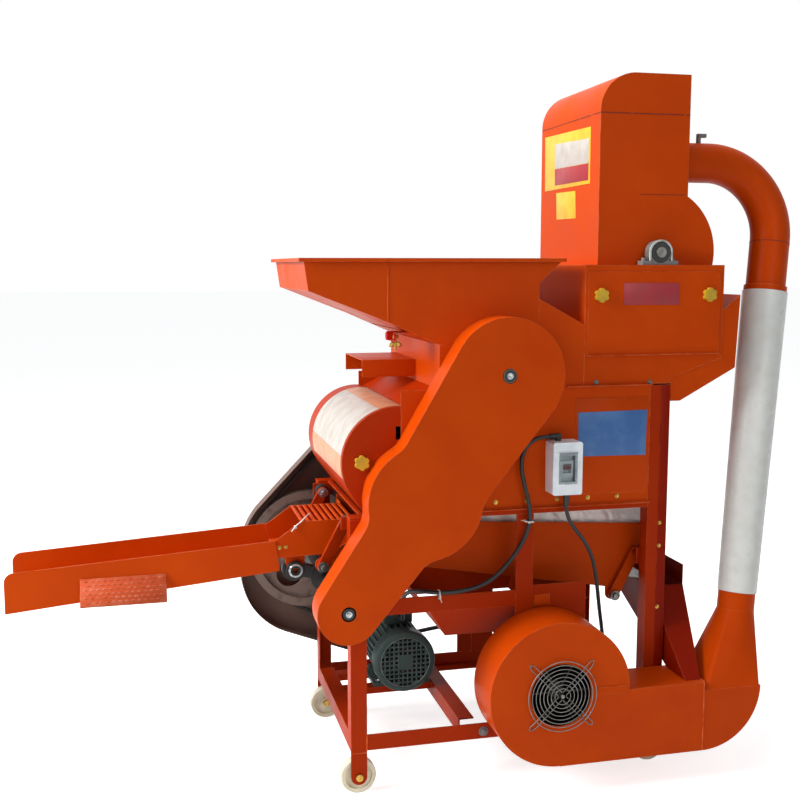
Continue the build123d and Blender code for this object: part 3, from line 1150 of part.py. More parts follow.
def reducer_body(inset, radius):
    """The square-to-round piece over the elbow, with the round collar that the tube slips on."""
    top = elbow_top_z()
    middle_x = ELBOW_X + SHEET + (ELBOW_R - SHEET) / 2
    middle_y = (LIFT_FRONT + LIFT_BACK) / 2
    width = ELBOW_R - SHEET - 2 * inset
    depth = LIFT_BACK - LIFT_FRONT - 2 * inset
    base = Pos(middle_x, middle_y, top) * RectangleRounded(width, depth, 12)
    way = lift_way()
    end = Plane(origin=Vector(*TUBE_LOW), z_dir=way, x_dir=Vector(0, 1, 0).cross(way))
    mouth = end * Circle(radius)
    body = loft([base, mouth])
    return body + extrude(mouth, amount=COLLAR_BARE + COLLAR_LENGTH * 0.7)


def lift_tube():
    way = lift_way()
    start = Vector(*TUBE_LOW) + way * COLLAR_BARE
    side = Vector(0, 1, 0).cross(way)
    low = Plane(origin=start, z_dir=way, x_dir=side)
    high = Plane(origin=Vector(*TUBE_TOP), z_dir=way, x_dir=side)
    inner_low = COLLAR_R + BOLT_GAP
    inner_high = TOP_ELBOW_R + BOLT_GAP
    outer = loft([low * Circle(inner_low + TUBE_WALL), high * Circle(inner_high + TUBE_WALL)])
    seat = COLLAR_LENGTH * 0.75
    high_seat = Plane(origin=Vector(*TUBE_TOP) - way * seat, z_dir=way, x_dir=side)
    low_seat = Plane(origin=start + way * seat, z_dir=way, x_dir=side)
    inner = loft([low_seat * Circle(inner_low), high_seat * Circle(inner_high)])
    inner += extrude(low_seat * Circle(inner_low), amount=-seat - 1)
    inner += extrude(high_seat * Circle(inner_high), amount=seat + 1)
    return [outer - inner]


def top_elbow_points():
    """Corner points of the top elbow's centre line, from the settling box to the tube."""
    way = lift_way()
    top = Vector(*TUBE_TOP)
    corner = top + way * ((TOP_ELBOW_Z - top.Z) / way.Z)
    end = top - way * (COLLAR_LENGTH * 0.6)
    return [(SETTLE_RIGHT, corner.Y, TOP_ELBOW_Z), tuple(corner), tuple(end)]


def top_elbow():
    points = top_elbow_points()
    path = FilletPolyline(*points, radius=TOP_ELBOW_BEND)
    start = Plane(origin=points[0], z_dir=(1, 0, 0))
    body = sweep(start * (Circle(TOP_PIPE_R) - Circle(TOP_PIPE_R - SHEET)), path=path)
    way = lift_way()
    end = Plane(origin=points[-1], z_dir=way, x_dir=Vector(0, 1, 0).cross(way))
    body += extrude(end * (Circle(TOP_ELBOW_R) - Circle(TOP_PIPE_R - SHEET)), amount=COLLAR_LENGTH)
    x0 = points[0][0]
    flange = Pos(x0 + 2, points[0][1], points[0][2]) * Rot(0, 90, 0) * Cylinder(TOP_PIPE_R + 12, 4)
    flange -= Pos(x0, points[0][1], points[0][2]) * Rot(0, 90, 0) * Cylinder(TOP_PIPE_R - 1, 30)
    return [body + flange]


def pod_chute():
    """A tapered open hopper under the sieve's spout that leads the pods into the lift duct."""
    x0, x1, y0, y1 = pod_mouth()
    left = FRAME_LENGTH + POD_CHUTE_GAP
    right = left + POD_CHUTE_W
    front = SIEVE_Y0 + POD_CHUTE_GAP
    back = SIEVE_Y1 - POD_CHUTE_GAP

    def body(inset):
        top = [(left + inset, front + inset), (right - inset, front + inset),
               (right - inset, back - inset), (left + inset, back - inset)]
        low = [(x0 + inset, y0 + inset), (x1 - inset, y0 + inset),
               (x1 - inset, y1 - inset), (x0 + inset, y1 - inset)]
        faces = [Pos(0, 0, z) * outline(loop) for loop, z in ((top, POD_CHUTE_TOP), (low, DUCT_TOP))]
        return loft(faces, ruled=True)

    upstand = slab(right - SHEET, right, front, back, POD_CHUTE_TOP, POD_CHUTE_TOP + POD_UPSTAND)
    far = slab(SPOUT_X + 12, right - SHEET, back - SHEET, back, POD_CHUTE_TOP, POD_CHUTE_TOP + POD_UPSTAND)
    return [body(0) - body(SHEET), upstand + far]


def wind_box():
    """The tapered air box that hangs between the middle rails below the sieve."""
    top_z = MID_RAIL_TOP - ANGLE + WIND_LAP
    low_z = LIFT_Z + WIND_LOW_RISE
    middle = FRAME_DEPTH / 2

    def body(inset):
        depth = FRAME_DEPTH - 2 * ANGLE_WALL - 2 * inset
        top = Pos(WIND_TOP_X, middle, top_z) * Rectangle(WIND_TOP_L - 2 * inset, depth)
        low = Pos(WIND_LOW_X, middle, low_z) * Rectangle(WIND_LOW_L - 2 * inset, WIND_LOW_D - 2 * inset)
        return loft([top, low], ruled=True)

    apron = slab(MID_POST_X + MID_POST_WIDTH, WIND_APRON_RIGHT, ANGLE_WALL, ANGLE_WALL + SHEET,
                 top_z - WIND_APRON_LAP, WIND_APRON_TOP)
    return [body(0) - body(SHEET) + apron + to_back(apron)]


# Sieve that swings on its rockers
def sieve_side():
    left = SIEVE_LEFT
    face = outline([(left, SIEVE_TOP_LEFT), (SIEVE_RIGHT, SIEVE_TOP_RIGHT), (SIEVE_RIGHT, SIEVE_TOP_RIGHT - 38),
                    (RIGHT_FOOT_PIN[0] + 14, SIEVE_LOW_RIGHT), (RIGHT_FOOT_PIN[0] - 14, SIEVE_LOW_RIGHT),
                    (left, SIEVE_LOW_LEFT)])
    ear = ROCKER_W / 2 + 4
    face += hull((*LEFT_FOOT_PIN, ear), (left + 40, SIEVE_LOW_LEFT + 45, 40))
    face += hull((*RIGHT_FOOT_PIN, ear), (RIGHT_FOOT_PIN[0], SIEVE_LOW_RIGHT + 20, ear))
    wall = rise(face, SIEVE_Y0, SIEVE_Y0 + SIEVE_WALL)
    for pin in (LEFT_FOOT_PIN, RIGHT_FOOT_PIN):
        wall += rod(*pin, PIN_D * 0.75, ROCKER_Y0 + ROCKER_T + SIDE_GAP, SIEVE_Y0)
        wall += rod(*pin, PIN_D / 2, ROCKER_Y0 - SIDE_GAP, ROCKER_Y0 + ROCKER_T + SIDE_GAP)
        wall += rod(*pin, PIN_D * 0.75, ROCKER_Y0 - SIDE_GAP - 8, ROCKER_Y0 - SIDE_GAP)
    return wall


def sieve_box():
    inner = (SIEVE_Y0 + SIEVE_WALL, SIEVE_Y1 - SIEVE_WALL)
    left = slab(SIEVE_LEFT, SIEVE_LEFT + SIEVE_WALL, *inner, SIEVE_LOW_LEFT, NECK_TOP)
    left -= slab(SIEVE_LEFT - 1, SIEVE_LEFT + SIEVE_WALL + 1, NECK_Y0, NECK_Y1, NECK_FLOOR, NECK_TOP + 1)
    slope = (SIEVE_LOW_RIGHT - SIEVE_LOW_LEFT) / (RIGHT_FOOT_PIN[0] - SIEVE_LEFT)
    bars = []
    for x in (SIEVE_LEFT + 20, (SIEVE_LEFT + RIGHT_FOOT_PIN[0]) / 2, RIGHT_FOOT_PIN[0] - 20):
        z = SIEVE_LOW_LEFT + slope * (x - SIEVE_LEFT) + 6
        bars.append(slab(x - 10, x + 10, *inner, z, z + 20))
    back = mirror(sieve_side(), about=Plane(origin=(0, SIEVE_MID_Y, 0), z_dir=(0, 1, 0)))
    return [sieve_side(), back, left] + bars


def sieve_deck():
    inner = (SIEVE_Y0 + SIEVE_WALL, SIEVE_Y1 - SIEVE_WALL)
    slope = (SIEVE_LOW_RIGHT - SIEVE_LOW_LEFT) / (RIGHT_FOOT_PIN[0] - SIEVE_LEFT)
    x0 = SIEVE_LEFT + SIEVE_WALL + SIDE_GAP
    x1 = SPOUT_X
    z0 = SIEVE_LOW_LEFT + DECK_RISE
    deck = folded([(x0, z0), (x1, z0 + slope * (x1 - x0))], SHEET, *inner)
    slots = []
    for row in range(6):
        for column in range(18):
            x = x0 + 30 + column * 40
            y = inner[0] + 30 + row * 59
            slots.append(slab(x, x + 22, y, y + 34, z0 - 400, z0 + 50))
    return [deck - slots]


def sieve_neck():
    top_left = NECK_LEFT + 78
    face = [(SIEVE_LEFT, NECK_TOP), (top_left, NECK_TOP), (NECK_LEFT, NECK_TOP - 55),
            (NECK_LEFT + 10, NECK_FLOOR - 7), (SIEVE_LEFT, NECK_FLOOR)]
    near = panel(face, NECK_Y0, NECK_Y0 + SIEVE_WALL)
    far = panel(face, NECK_Y1 - SIEVE_WALL, NECK_Y1)
    inner = (NECK_Y0 + SIEVE_WALL, NECK_Y1 - SIEVE_WALL)
    floor = folded([(NECK_LEFT + 10, NECK_FLOOR - 7), (SIEVE_LEFT, NECK_FLOOR)], -SIEVE_WALL, *inner)
    pitch = (SIEVE_LEFT - top_left - SLAT_W) / (SLAT_COUNT - 1)
    slats = [slab(top_left + index * pitch, top_left + index * pitch + SLAT_W, *inner, NECK_TOP - 5, NECK_TOP)
             for index in range(SLAT_COUNT)]
    ear = rise(hull((ROD_END_X, ROD_END_Z, 18), (ROD_END_X, NECK_FLOOR - 9 - 28, 28))
               + outline([(ROD_END_X - 28, NECK_FLOOR - 37), (ROD_END_X + 28, NECK_FLOOR - 37),
                          (ROD_END_X + 28, NECK_FLOOR - 3.2), (ROD_END_X - 28, NECK_FLOOR - 4.9)]), 0, CLEVIS_T)
    half = ROD_T / 2 + CLEVIS_GAP
    pin = rod(ROD_END_X, ROD_END_Z, BUSH_PIN_D / 2, ROD_Y - half, ROD_Y + half)
    clevis = pin + Pos(0, ROD_Y - half - CLEVIS_T, 0) * ear + Pos(0, ROD_Y + half, 0) * ear
    return [near, far, floor] + slats + [clevis]


def trough_slope_z(x):
    share = (x - TROUGH_LEFT) / (TROUGH_RIGHT - TROUGH_LEFT)
    return TROUGH_LEFT_Z + share * (TROUGH_RIGHT_Z - TROUGH_LEFT_Z)


def kernel_trough():
    gap = SIDE_GAP
    face = [(TROUGH_LEFT, TROUGH_LEFT_Z), (TROUGH_RIGHT, TROUGH_RIGHT_Z),
            (TROUGH_RIGHT - 11, TROUGH_RIGHT_Z + TROUGH_RIGHT_H), (TROUGH_LEFT, TROUGH_LEFT_Z + TROUGH_LEFT_H)]
    side_face = outline(face)
    side_face = fillet(side_face.vertices().group_by(Axis.X)[0].sort_by(Axis.Y)[-1:], TROUGH_CORNER_R)
    near = rise(side_face, NECK_Y0 - gap - TROUGH_WALL, NECK_Y0 - gap)
    far = rise(side_face, NECK_Y1 + gap, NECK_Y1 + gap + TROUGH_WALL)
    floor = folded([(TROUGH_LEFT, TROUGH_LEFT_Z), (TROUGH_RIGHT, TROUGH_RIGHT_Z)], -TROUGH_WALL,
                   NECK_Y0 - gap, NECK_Y1 + gap)
    lip_top = trough_slope_z((LIP_X0 + LIP_X1) / 2) + TROUGH_LEFT_H * 0.5
    hinge_y = NECK_Y0 - gap - TROUGH_WALL
    side = Plane(origin=(LIP_X0, 0, 0), x_dir=(0, 1, 0), z_dir=(1, 0, 0))
    plate = outline([(hinge_y, lip_top), (hinge_y - LIP_REACH, lip_top - LIP_DROP),
                     (hinge_y - LIP_REACH, lip_top - LIP_DROP - SHEET), (hinge_y, lip_top - SHEET * 2)])
    lip = extrude(side * plate, amount=LIP_X1 - LIP_X0)
    return [near, far, floor, lip]


def rocker(pin_x, pin_z):
    foot = (pin_x - ROCKER_LEAN, pin_z - ROCKER_DROP)
    bar = rise(hull((pin_x, pin_z, ROCKER_W / 2), (*foot, ROCKER_W / 2)), ROCKER_Y0, ROCKER_Y0 + ROCKER_T)
    for x, z in ((pin_x, pin_z), foot):
        bar -= rod(x, z, PIN_D / 2 + RUN_GAP, ROCKER_Y0 - 1, ROCKER_Y0 + ROCKER_T + 1)
    return front_and_back(bar)


def connecting_rod():
    y0 = ROD_Y - ROD_T / 2
    y1 = ROD_Y + ROD_T / 2
    hub = (COUNTER_X, ROD_HUB_Z)
    end = (ROD_END_X, ROD_END_Z)
    body = rise(disc(*hub, ECCENTRIC_R + ROD_WALL) + disc(*end, BUSH_R + ROD_EYE_WALL)
                + hull((*hub, 18), (*end, 18)), y0, y1)
    body -= rod(*hub, ECCENTRIC_R + RUN_GAP, y0 - 1, y1 + 1)
    return [body - rod(*end, BUSH_R + RUN_GAP, y0 - 1, y1 + 1)]


def rod_bush():
    return [tube(ROD_END_X, ROD_END_Z, BUSH_R, BUSH_PIN_D / 2 + RUN_GAP, ROD_Y - ROD_T / 2, ROD_Y + ROD_T / 2)]


# Breaker box
def window_centre():
    return ((BREAKER_X0 + BREAKER_X1) / 2, (BREAKER_Z0 + BREAKER_Z1) / 2)


def breaker_box():
    shell = slab(BREAKER_X0, BREAKER_X1, -BREAKER_D, 0, BREAKER_Z0, BREAKER_Z1)
    shell = fillet(shell.edges().filter_by(Axis.Y), 6)
    wall = BREAKER_WALL
    shell -= slab(BREAKER_X0 + wall, BREAKER_X1 - wall, -BREAKER_D + wall, -wall,
                  BREAKER_Z0 + wall, BREAKER_Z1 - wall)
    x, z = window_centre()
    shell -= slab(x - WINDOW_W / 2 + 6, x + WINDOW_W / 2 - 6, -BREAKER_D - 1, -BREAKER_D + wall + 1,
                  z - WINDOW_H / 2 + 6, z + WINDOW_H / 2 - 6)
    hinge_y, hinge_z = window_hinge()
    for side in (x - WINDOW_W / 2 - 4, x + WINDOW_W / 2):
        ear = slab(side, side + 4, hinge_y, -BREAKER_D, hinge_z - 2.5, hinge_z + 2.5)
        shell += ear
    pin = Pos(x, hinge_y, hinge_z) * Rot(0, 90, 0) * Cylinder(1.2, WINDOW_W + 8)
    shell += pin
    module = slab(x - 18, x + 18, -BREAKER_D + 14, -wall, z - 42, z + 42)
    module += slab(x - 18, x + 18, -BREAKER_D + 7, -BREAKER_D + 14, z - 22, z + 22)
    module -= slab(x - 12, x + 12, -BREAKER_D + 6, -BREAKER_D + 22, z - 13, z + 13)
    module += Pos(x, toggle_pivot_y(), z) * Rot(0, 90, 0) * Cylinder(1.5, 26)
    return [shell, module]


def window_hinge():
    z = window_centre()[1]
    return (-BREAKER_D - 3.2, z + WINDOW_H / 2 + 1)


def breaker_window():
    x, z = window_centre()
    hinge_y, hinge_z = window_hinge()
    half = WINDOW_W / 2 - 0.5
    face_y = -BREAKER_D - 0.4
    lid = slab(x - half, x + half, face_y - WINDOW_T, face_y, z - WINDOW_H / 2, hinge_z)
    lid += Pos(x, hinge_y, hinge_z) * Rot(0, 90, 0) * Cylinder(2.6, half * 2)
    lid += slab(x - 8, x + 8, face_y - WINDOW_T - 3, face_y - WINDOW_T, z - WINDOW_H / 2, z - WINDOW_H / 2 + 3)
    return [lid - Pos(x, hinge_y, hinge_z) * Rot(0, 90, 0) * Cylinder(1.2 + RUN_GAP, WINDOW_W + 8)]


def toggle_pivot_y():
    return -BREAKER_D + 16


def breaker_toggle():
    x, z = window_centre()
    pivot_y = toggle_pivot_y()
    drum = Pos(x, pivot_y, z) * Rot(0, 90, 0) * Cylinder(5, 22)
    lever = Pos(x, pivot_y, z) * Rot(-28, 0, 0) * Pos(0, -8, 0) * Box(20, 12, 5)
    return [drum + lever - Pos(x, pivot_y, z) * Rot(0, 90, 0) * Cylinder(1.5 + RUN_GAP, 30)]


# Cables
def cable_glands():
    exit_x, exit_y, exit_z = MOTOR_CABLE_POINTS[0]
    elbow = Pos(exit_x + 24, exit_y, (BREAKER_Z1 + exit_z + 8) / 2) * Cylinder(9, exit_z + 8 - BREAKER_Z1)
    elbow += Pos(exit_x + 12, exit_y, exit_z) * Rot(0, 90, 0) * Cylinder(CABLE_D / 2 + 2, 24)
    down_x, down_y, down_z = SUPPLY_CABLE_POINTS[0]
    relief = Pos(down_x, down_y, down_z) * Cone(SUPPLY_D / 2 + 1.5, 10, BREAKER_Z0 - down_z,
                                                align=(Align.CENTER, Align.CENTER, Align.MIN))
    end_x, end_y, end_z = MOTOR_CABLE_POINTS[-1]
    gland_y = MOTOR_RAIL_Y[0] + 30
    inlet = rod(end_x, end_z, CABLE_D / 2 + 3, end_y, gland_y)
    return [elbow, relief, inlet]


def cord(points, diameter, name):
    """A round cable on straight runs joined by arcs as large as the runs allow."""
    vectors = [Vector(*point) for point in points]
    radii = []
    for before, here, after in zip(vectors, vectors[1:], vectors[2:]):
        turn = math.radians((here - before).get_angle(after - here))
        shorter = min((here - before).length, (after - here).length)
        radii.append(0.45 * shorter / math.tan(turn / 2))
    path = FilletPolyline(*points, radius=radii)
    way = (vectors[1] - vectors[0]).normalized()
    start = Plane(origin=vectors[0], z_dir=way)
    body = sweep(start * Circle(diameter / 2), path=path)
    expected = math.pi * diameter ** 2 / 4 * path.length
    print(name, "length", round(path.length), "radii", [round(radius) for radius in radii])
    print(name, "volume share", round(body.volume / expected, 4))
    return [body]


def supply_coil():
    ring = Circle(COIL_R + COIL_WIDTH / 2) - Circle(COIL_R - COIL_WIDTH / 2)
    return [Pos(COIL_X, COIL_Y, 0) * extrude(ring, amount=COIL_HEIGHT)]


def plug_start():
    """Where the plug's strain relief meets the outside of the coil."""
    edge = COIL_R - SUPPLY_D / 2 - 1
    return COIL_X - math.sqrt((COIL_R + COIL_WIDTH / 2) ** 2 - edge ** 2) - BOLT_GAP


def plug_pin_place():
    return (plug_start() - PLUG_RELIEF - PLUG_LENGTH, COIL_Y + COIL_R, PLUG_R)


def supply_plug():
    x, y, z = plug_pin_place()
    flat = Align.CENTER, Align.CENTER, Align.MIN
    to_left = Rot(0, -90, 0)
    plug = Pos(plug_start(), y, z) * to_left * Cone(SUPPLY_D / 2 + 1, SUPPLY_D, PLUG_RELIEF, align=flat)
    plug += Pos(x + PLUG_LENGTH, y, z) * to_left * Cylinder(PLUG_R, PLUG_LENGTH, align=flat)
    for side in (-PLUG_PIN_SPAN / 2, PLUG_PIN_SPAN / 2):
        plug += Pos(x, y + side, z) * to_left * Cylinder(PLUG_PIN_D / 2, PLUG_PIN_LENGTH, align=flat)
    return [plug]


def build_nodes():
    nodes = {
        "frame_posts": frame_posts(), "frame_rails": frame_rails(), "frame_bolts": frame_bolts(),
        "wheel_axles": [placed(wheel_axle(x), back) for x, back in wheel_places().values()],
        "motor_body": motor_body(), "motor_fan_cowl": motor_fan_cowl(), "motor_rotor": motor_rotor(),
        "counter_shaft": counter_shaft(), "drive_wheel": drive_wheel(), "jack_pulley": jack_pulley(),
        "drum_rotor": drum_rotor(), "blower_rotor": blower_rotor(),
        "lift_rotor": lift_impeller() + lift_shaft(), "second_rotor": second_rotor(), "drive_belts": drive_belts(),
        "shaft_bearings": shaft_bearings(), "concave_screens": concave_screens(),
        "front_belt_guard": front_belt_guard(), "rear_belt_guard": rear_belt_guard(),
        "separation_box": separation_box(), "dust_skirt": dust_skirt(),
        "blower_housing": blower_housing(), "drum_housing": drum_housing(),
        "hopper": hopper(), "feed_gate": feed_gate(),
        "second_chamber": second_chamber(), "screen_cover": screen_cover(),
        "settling_box": settling_box(), "settling_cap": settling_cap(), "shell_chute": shell_chute(),
        "lift_fan_housing": lift_fan_housing(), "finger_guard": finger_guard(),
        "lift_elbow": lift_elbow(), "lift_tube": lift_tube(), "top_elbow": top_elbow(),
        "pod_chute": pod_chute(), "wind_box": wind_box(),
        "sieve_box": sieve_box(), "sieve_deck": sieve_deck(), "sieve_neck": sieve_neck(),
        "kernel_trough": kernel_trough(),
        "left_rockers": rocker(LEFT_PIN_X, LEFT_PIN_Z), "right_rockers": rocker(RIGHT_PIN_X, RIGHT_PIN_Z),
        "connecting_rod": connecting_rod(), "rod_bush": rod_bush(),
        "breaker_box": breaker_box(), "breaker_window": breaker_window(), "breaker_toggle": breaker_toggle(),
        "cable_glands": cable_glands(),
        "motor_cable": cord(MOTOR_CABLE_POINTS, CABLE_D, "motor cable"),
        "supply_cable": cord(SUPPLY_CABLE_POINTS, SUPPLY_D, "supply cable"),
        "supply_coil": supply_coil(), "supply_plug": supply_plug()}
    for name, (x, back) in wheel_places().items():
        nodes["wheel_" + name] = [placed(wheel(x), back)]
    for name, x in zip(("cover_knob_left", "cover_knob_right"), COVER_KNOB_X):
        nodes[name] = star_knob(x, COVER_KNOB_Z, -COVER_T, SHEET + 8)
    nodes["blower_knob"] = star_knob(BLOWER_KNOB_X, BLOWER_KNOB_Z, 0, SHEET + 8)
    return nodes


def middle_of(nodes):
    """The floor point under the middle of the machine, leaving out the loose cables."""
    boxes = [shape.bounding_box() for name, shapes in nodes.items() for shape in shapes
             if not name.startswith(("supply", "motor_cable"))]
    x = (min(box.min.X for box in boxes) + max(box.max.X for box in boxes)) / 2
    y = (min(box.min.Y for box in boxes) + max(box.max.Y for box in boxes)) / 2
    return Vector(x, y, 0)


def main():
    nodes = build_nodes()
    middle = middle_of(nodes)
    print("middle", tuple(middle))
    os.makedirs("parts", exist_ok=True)
    for name, shapes in nodes.items():
        solids = [solid for shape in shapes for solid in shape.solids()]
        moved = [Pos(-middle.X, -middle.Y, 0) * solid for solid in solids]
        export_step(moved[0] if len(moved) == 1 else Compound(moved), "parts/" + name + ".step")


main()
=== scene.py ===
"""Looks of the peanut sheller: materials for its solids, and the finer pieces around them."""
import math

import bmesh
import bpy
from mathutils import Matrix, Vector, noise


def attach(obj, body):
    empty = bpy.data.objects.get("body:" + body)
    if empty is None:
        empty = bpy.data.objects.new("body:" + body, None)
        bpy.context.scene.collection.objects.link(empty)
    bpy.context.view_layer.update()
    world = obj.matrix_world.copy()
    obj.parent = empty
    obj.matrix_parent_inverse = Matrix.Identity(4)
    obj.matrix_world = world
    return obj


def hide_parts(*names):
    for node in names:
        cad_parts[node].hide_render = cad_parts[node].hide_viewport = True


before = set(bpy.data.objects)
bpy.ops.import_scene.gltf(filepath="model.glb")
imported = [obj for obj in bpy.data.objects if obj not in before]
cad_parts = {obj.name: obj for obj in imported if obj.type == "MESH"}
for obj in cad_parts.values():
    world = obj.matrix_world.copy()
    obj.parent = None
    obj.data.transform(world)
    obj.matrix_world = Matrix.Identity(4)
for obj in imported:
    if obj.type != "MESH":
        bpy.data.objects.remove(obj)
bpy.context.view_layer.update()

# The photograph's viewpoint: at eye height, three metres in front and to the left.
# The lens and the angles come from the machine's own straight edges.
CAMERA_PLACE = (-0.7693, -3.0505, 1.450)
CAMERA_YAW = math.radians(13.594)
CAMERA_PITCH = math.radians(7.02)
LENS = 49.09
SENSOR_WIDTH = 36.0

eye = bpy.data.cameras.new("photo_camera")
eye.lens = LENS
eye.sensor_width = SENSOR_WIDTH
eye_object = bpy.data.objects.new("photo_camera", eye)
eye_object.location = CAMERA_PLACE
eye_object.rotation_euler = (math.pi / 2 - CAMERA_PITCH, 0.0, -CAMERA_YAW)
bpy.context.scene.collection.objects.link(eye_object)
bpy.context.scene.camera = eye_object
bpy.context.scene.view_settings.view_transform = "Standard"


# The studio: a pale seamless floor, white surroundings, a large soft lamp high on the left, a weak one
# in front and one overhead, so that left and top faces are bright and front faces are deeper.
def srgb(hex_code):
    """An sRGB hex colour as the linear numbers that a shader takes."""
    parts = [int(hex_code[start:start + 2], 16) / 255 for start in (1, 3, 5)]
    linear = [c / 12.92 if c <= 0.04045 else ((c + 0.055) / 1.055) ** 2.4 for c in parts]
    return (*linear, 1.0)


def add(tree, kind, feeds=None, **settings):
    """Adds a node: settings are its properties, feeds its sockets' values or the outputs they take."""
    made = tree.nodes.new("ShaderNode" + kind)
    for name, value in settings.items():
        setattr(made, name, value)
    for socket, value in (feeds or {}).items():
        if isinstance(value, bpy.types.NodeSocket):
            tree.links.new(value, made.inputs[socket])
        else:
            made.inputs[socket].default_value = value
    return made


FLOOR_HALF = 60.0
FLOOR_GLOW = 0.72
mesh = bmesh.new()
bmesh.ops.create_grid(mesh, x_segments=1, y_segments=1, size=FLOOR_HALF)
floor_mesh = bpy.data.meshes.new("floor")
mesh.to_mesh(floor_mesh)
mesh.free()
floor = bpy.data.objects.new("floor", floor_mesh)
bpy.context.scene.collection.objects.link(floor)

paper = bpy.data.materials.new("pale_studio_floor")
paper.use_nodes = True
tree = paper.node_tree
tree.nodes.clear()
rays = add(tree, "LightPath").outputs
seen = add(tree, "Math", {0: rays["Is Camera Ray"], 1: rays["Is Glossy Ray"]}, operation="MAXIMUM")
seen = add(tree, "Math", {0: seen.outputs[0], 1: rays["Is Transmission Ray"]}, operation="MAXIMUM")
lit = add(tree, "BsdfDiffuse", {"Color": srgb("#f2f2f0")})
glow = add(tree, "Emission", {"Color": srgb("#ffffff"), "Strength": FLOOR_GLOW})
none = add(tree, "Emission", {"Strength": 0.0})
share = add(tree, "MixShader", {0: seen.outputs[0], 1: none.outputs[0], 2: glow.outputs[0]})
both = add(tree, "AddShader", {0: lit.outputs[0], 1: share.outputs[0]})
add(tree, "OutputMaterial", {"Surface": both.outputs[0]})
floor_mesh.materials.append(paper)

ROOM_LIGHT = 0.32
world = bpy.data.worlds.new("white_studio")
bpy.context.scene.world = world
world.use_nodes = True
tree = world.node_tree
tree.nodes.clear()
rays = add(tree, "LightPath").outputs
seen = add(tree, "Math", {0: rays["Is Camera Ray"], 1: rays["Is Glossy Ray"]}, operation="MAXIMUM")
seen = add(tree, "Math", {0: seen.outputs[0], 1: rays["Is Transmission Ray"]}, operation="MAXIMUM")
lit = add(tree, "Background", {"Color": srgb("#eef1f5"), "Strength": ROOM_LIGHT})
white = add(tree, "Background", {"Color": srgb("#ffffff"), "Strength": 1.0})
share = add(tree, "MixShader", {0: seen.outputs[0], 1: lit.outputs[0], 2: white.outputs[0]})
add(tree, "OutputWorld", {"Surface": share.outputs[0]})

LAMP_AIM = Vector((0.1, 0.0, 0.9))
for name, place, power, size in (("left_softbox", (-4.2, -0.5, 3.1), 320.0, 2.6),
                                 ("front_softbox", (1.0, -4.4, 2.6), 29.0, 2.4),
                                 ("top_softbox", (-0.6, 0.3, 4.8), 110.0, 3.0)):
    lamp = bpy.data.lights.new(name, "AREA")
    lamp.energy = power
    lamp.shape = "DISK"
    lamp.size = size
    lamp_object = bpy.data.objects.new(name, lamp)
    lamp_object.location = place
    toward = LAMP_AIM - lamp_object.location
    lamp_object.rotation_euler = toward.to_track_quat("-Z", "Y").to_euler()
    bpy.context.scene.collection.objects.link(lamp_object)


# The frame and the sheet metal: folded and welded mild steel, sprayed with glossy orange enamel.
# Sprayed enamel shows a fine orange peel, sheets that are never quite flat, paler edges that are partly worn
# paint and partly painted highlight, and thinner, redder paint in patches.
PAINT_PATCH = 0.16
RUBBED_SPOT = 0.03
SHEET_DENT = 0.19
ORANGE_PEEL = 0.007
EDGE_WEAR_AND_HIGHLIGHT_RADIUS = 0.0028


def new_look(name):
    """A new material, with its node tree, its shader and the piece's own coordinates."""
    made = bpy.data.materials.new(name)
    made.use_nodes = True
    tree = made.node_tree
    return made, tree, tree.nodes["Principled BSDF"], add(tree, "TexCoord").outputs["Object"]


def enamel(name, deep, base, edge_wear_and_highlight, gloss):
    """Sprayed enamel on sheet steel."""
    made, tree, shader, place = new_look(name)
    patches = add(tree, "TexNoise", {"Vector": place, "Scale": 1 / PAINT_PATCH, "Detail": 3.0})
    coat = add(tree, "Mix", {0: patches.outputs[0], 6: srgb(deep), 7: srgb(base)}, data_type="RGBA")
    edge = add(tree, "Bevel", {"Radius": EDGE_WEAR_AND_HIGHLIGHT_RADIUS}, samples=4)
    flat = add(tree, "NewGeometry").outputs["Normal"]
    facing = add(tree, "VectorMath", {0: edge.outputs[0], 1: flat}, operation="DOT_PRODUCT")
    ridge = add(tree, "MapRange", {"Value": facing.outputs["Value"], "From Min": 0.995, "From Max": 0.86,
                                   "To Max": 0.8})
    rubbed = add(tree, "TexNoise", {"Vector": place, "Scale": 1 / RUBBED_SPOT, "Detail": 4.0})
    rubbed = add(tree, "MapRange", {"Value": rubbed.outputs[0], "From Min": 0.34, "From Max": 0.62})
    # Paler edges: worn paint in patches, and a painted highlight where the edges catch the light.
    edge_wear_and_highlight_share = add(tree, "Math", {0: ridge.outputs[0], 1: rubbed.outputs[0]}, operation="MULTIPLY")
    colour = add(tree, "Mix", {0: edge_wear_and_highlight_share.outputs[0], 6: coat.outputs[2], 7: srgb(edge_wear_and_highlight)}, data_type="RGBA")
    tree.links.new(colour.outputs[2], shader.inputs["Base Color"])
    haze = add(tree, "MapRange", {"Value": patches.outputs[0], "From Min": 0.3, "From Max": 0.7,
                                  "To Min": gloss - 0.06, "To Max": gloss + 0.1})
    tree.links.new(haze.outputs[0], shader.inputs["Roughness"])
    dents = add(tree, "TexNoise", {"Vector": place, "Scale": 1 / SHEET_DENT, "Detail": 1.0})
    wavy = add(tree, "Bump", {"Height": dents.outputs[0], "Strength": 0.3, "Distance": 0.004,
                              "Normal": edge.outputs[0]})
    peel = add(tree, "TexNoise", {"Vector": place, "Scale": 1 / ORANGE_PEEL, "Detail": 1.0})
    skin = add(tree, "Bump", {"Height": peel.outputs[0], "Strength": 0.1, "Distance": 0.0008,
                              "Normal": wavy.outputs[0]})
    tree.links.new(skin.outputs[0], shader.inputs["Normal"])
    shader.inputs["IOR"].default_value = 1.5
    shader.inputs["Specular IOR Level"].default_value = 0.06
    return made


def finish_nodes(material, *names):
    """Gives CAD nodes a material."""
    for node_name in names:
        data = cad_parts[node_name].data
        data.materials.clear()
        data.materials.append(material)


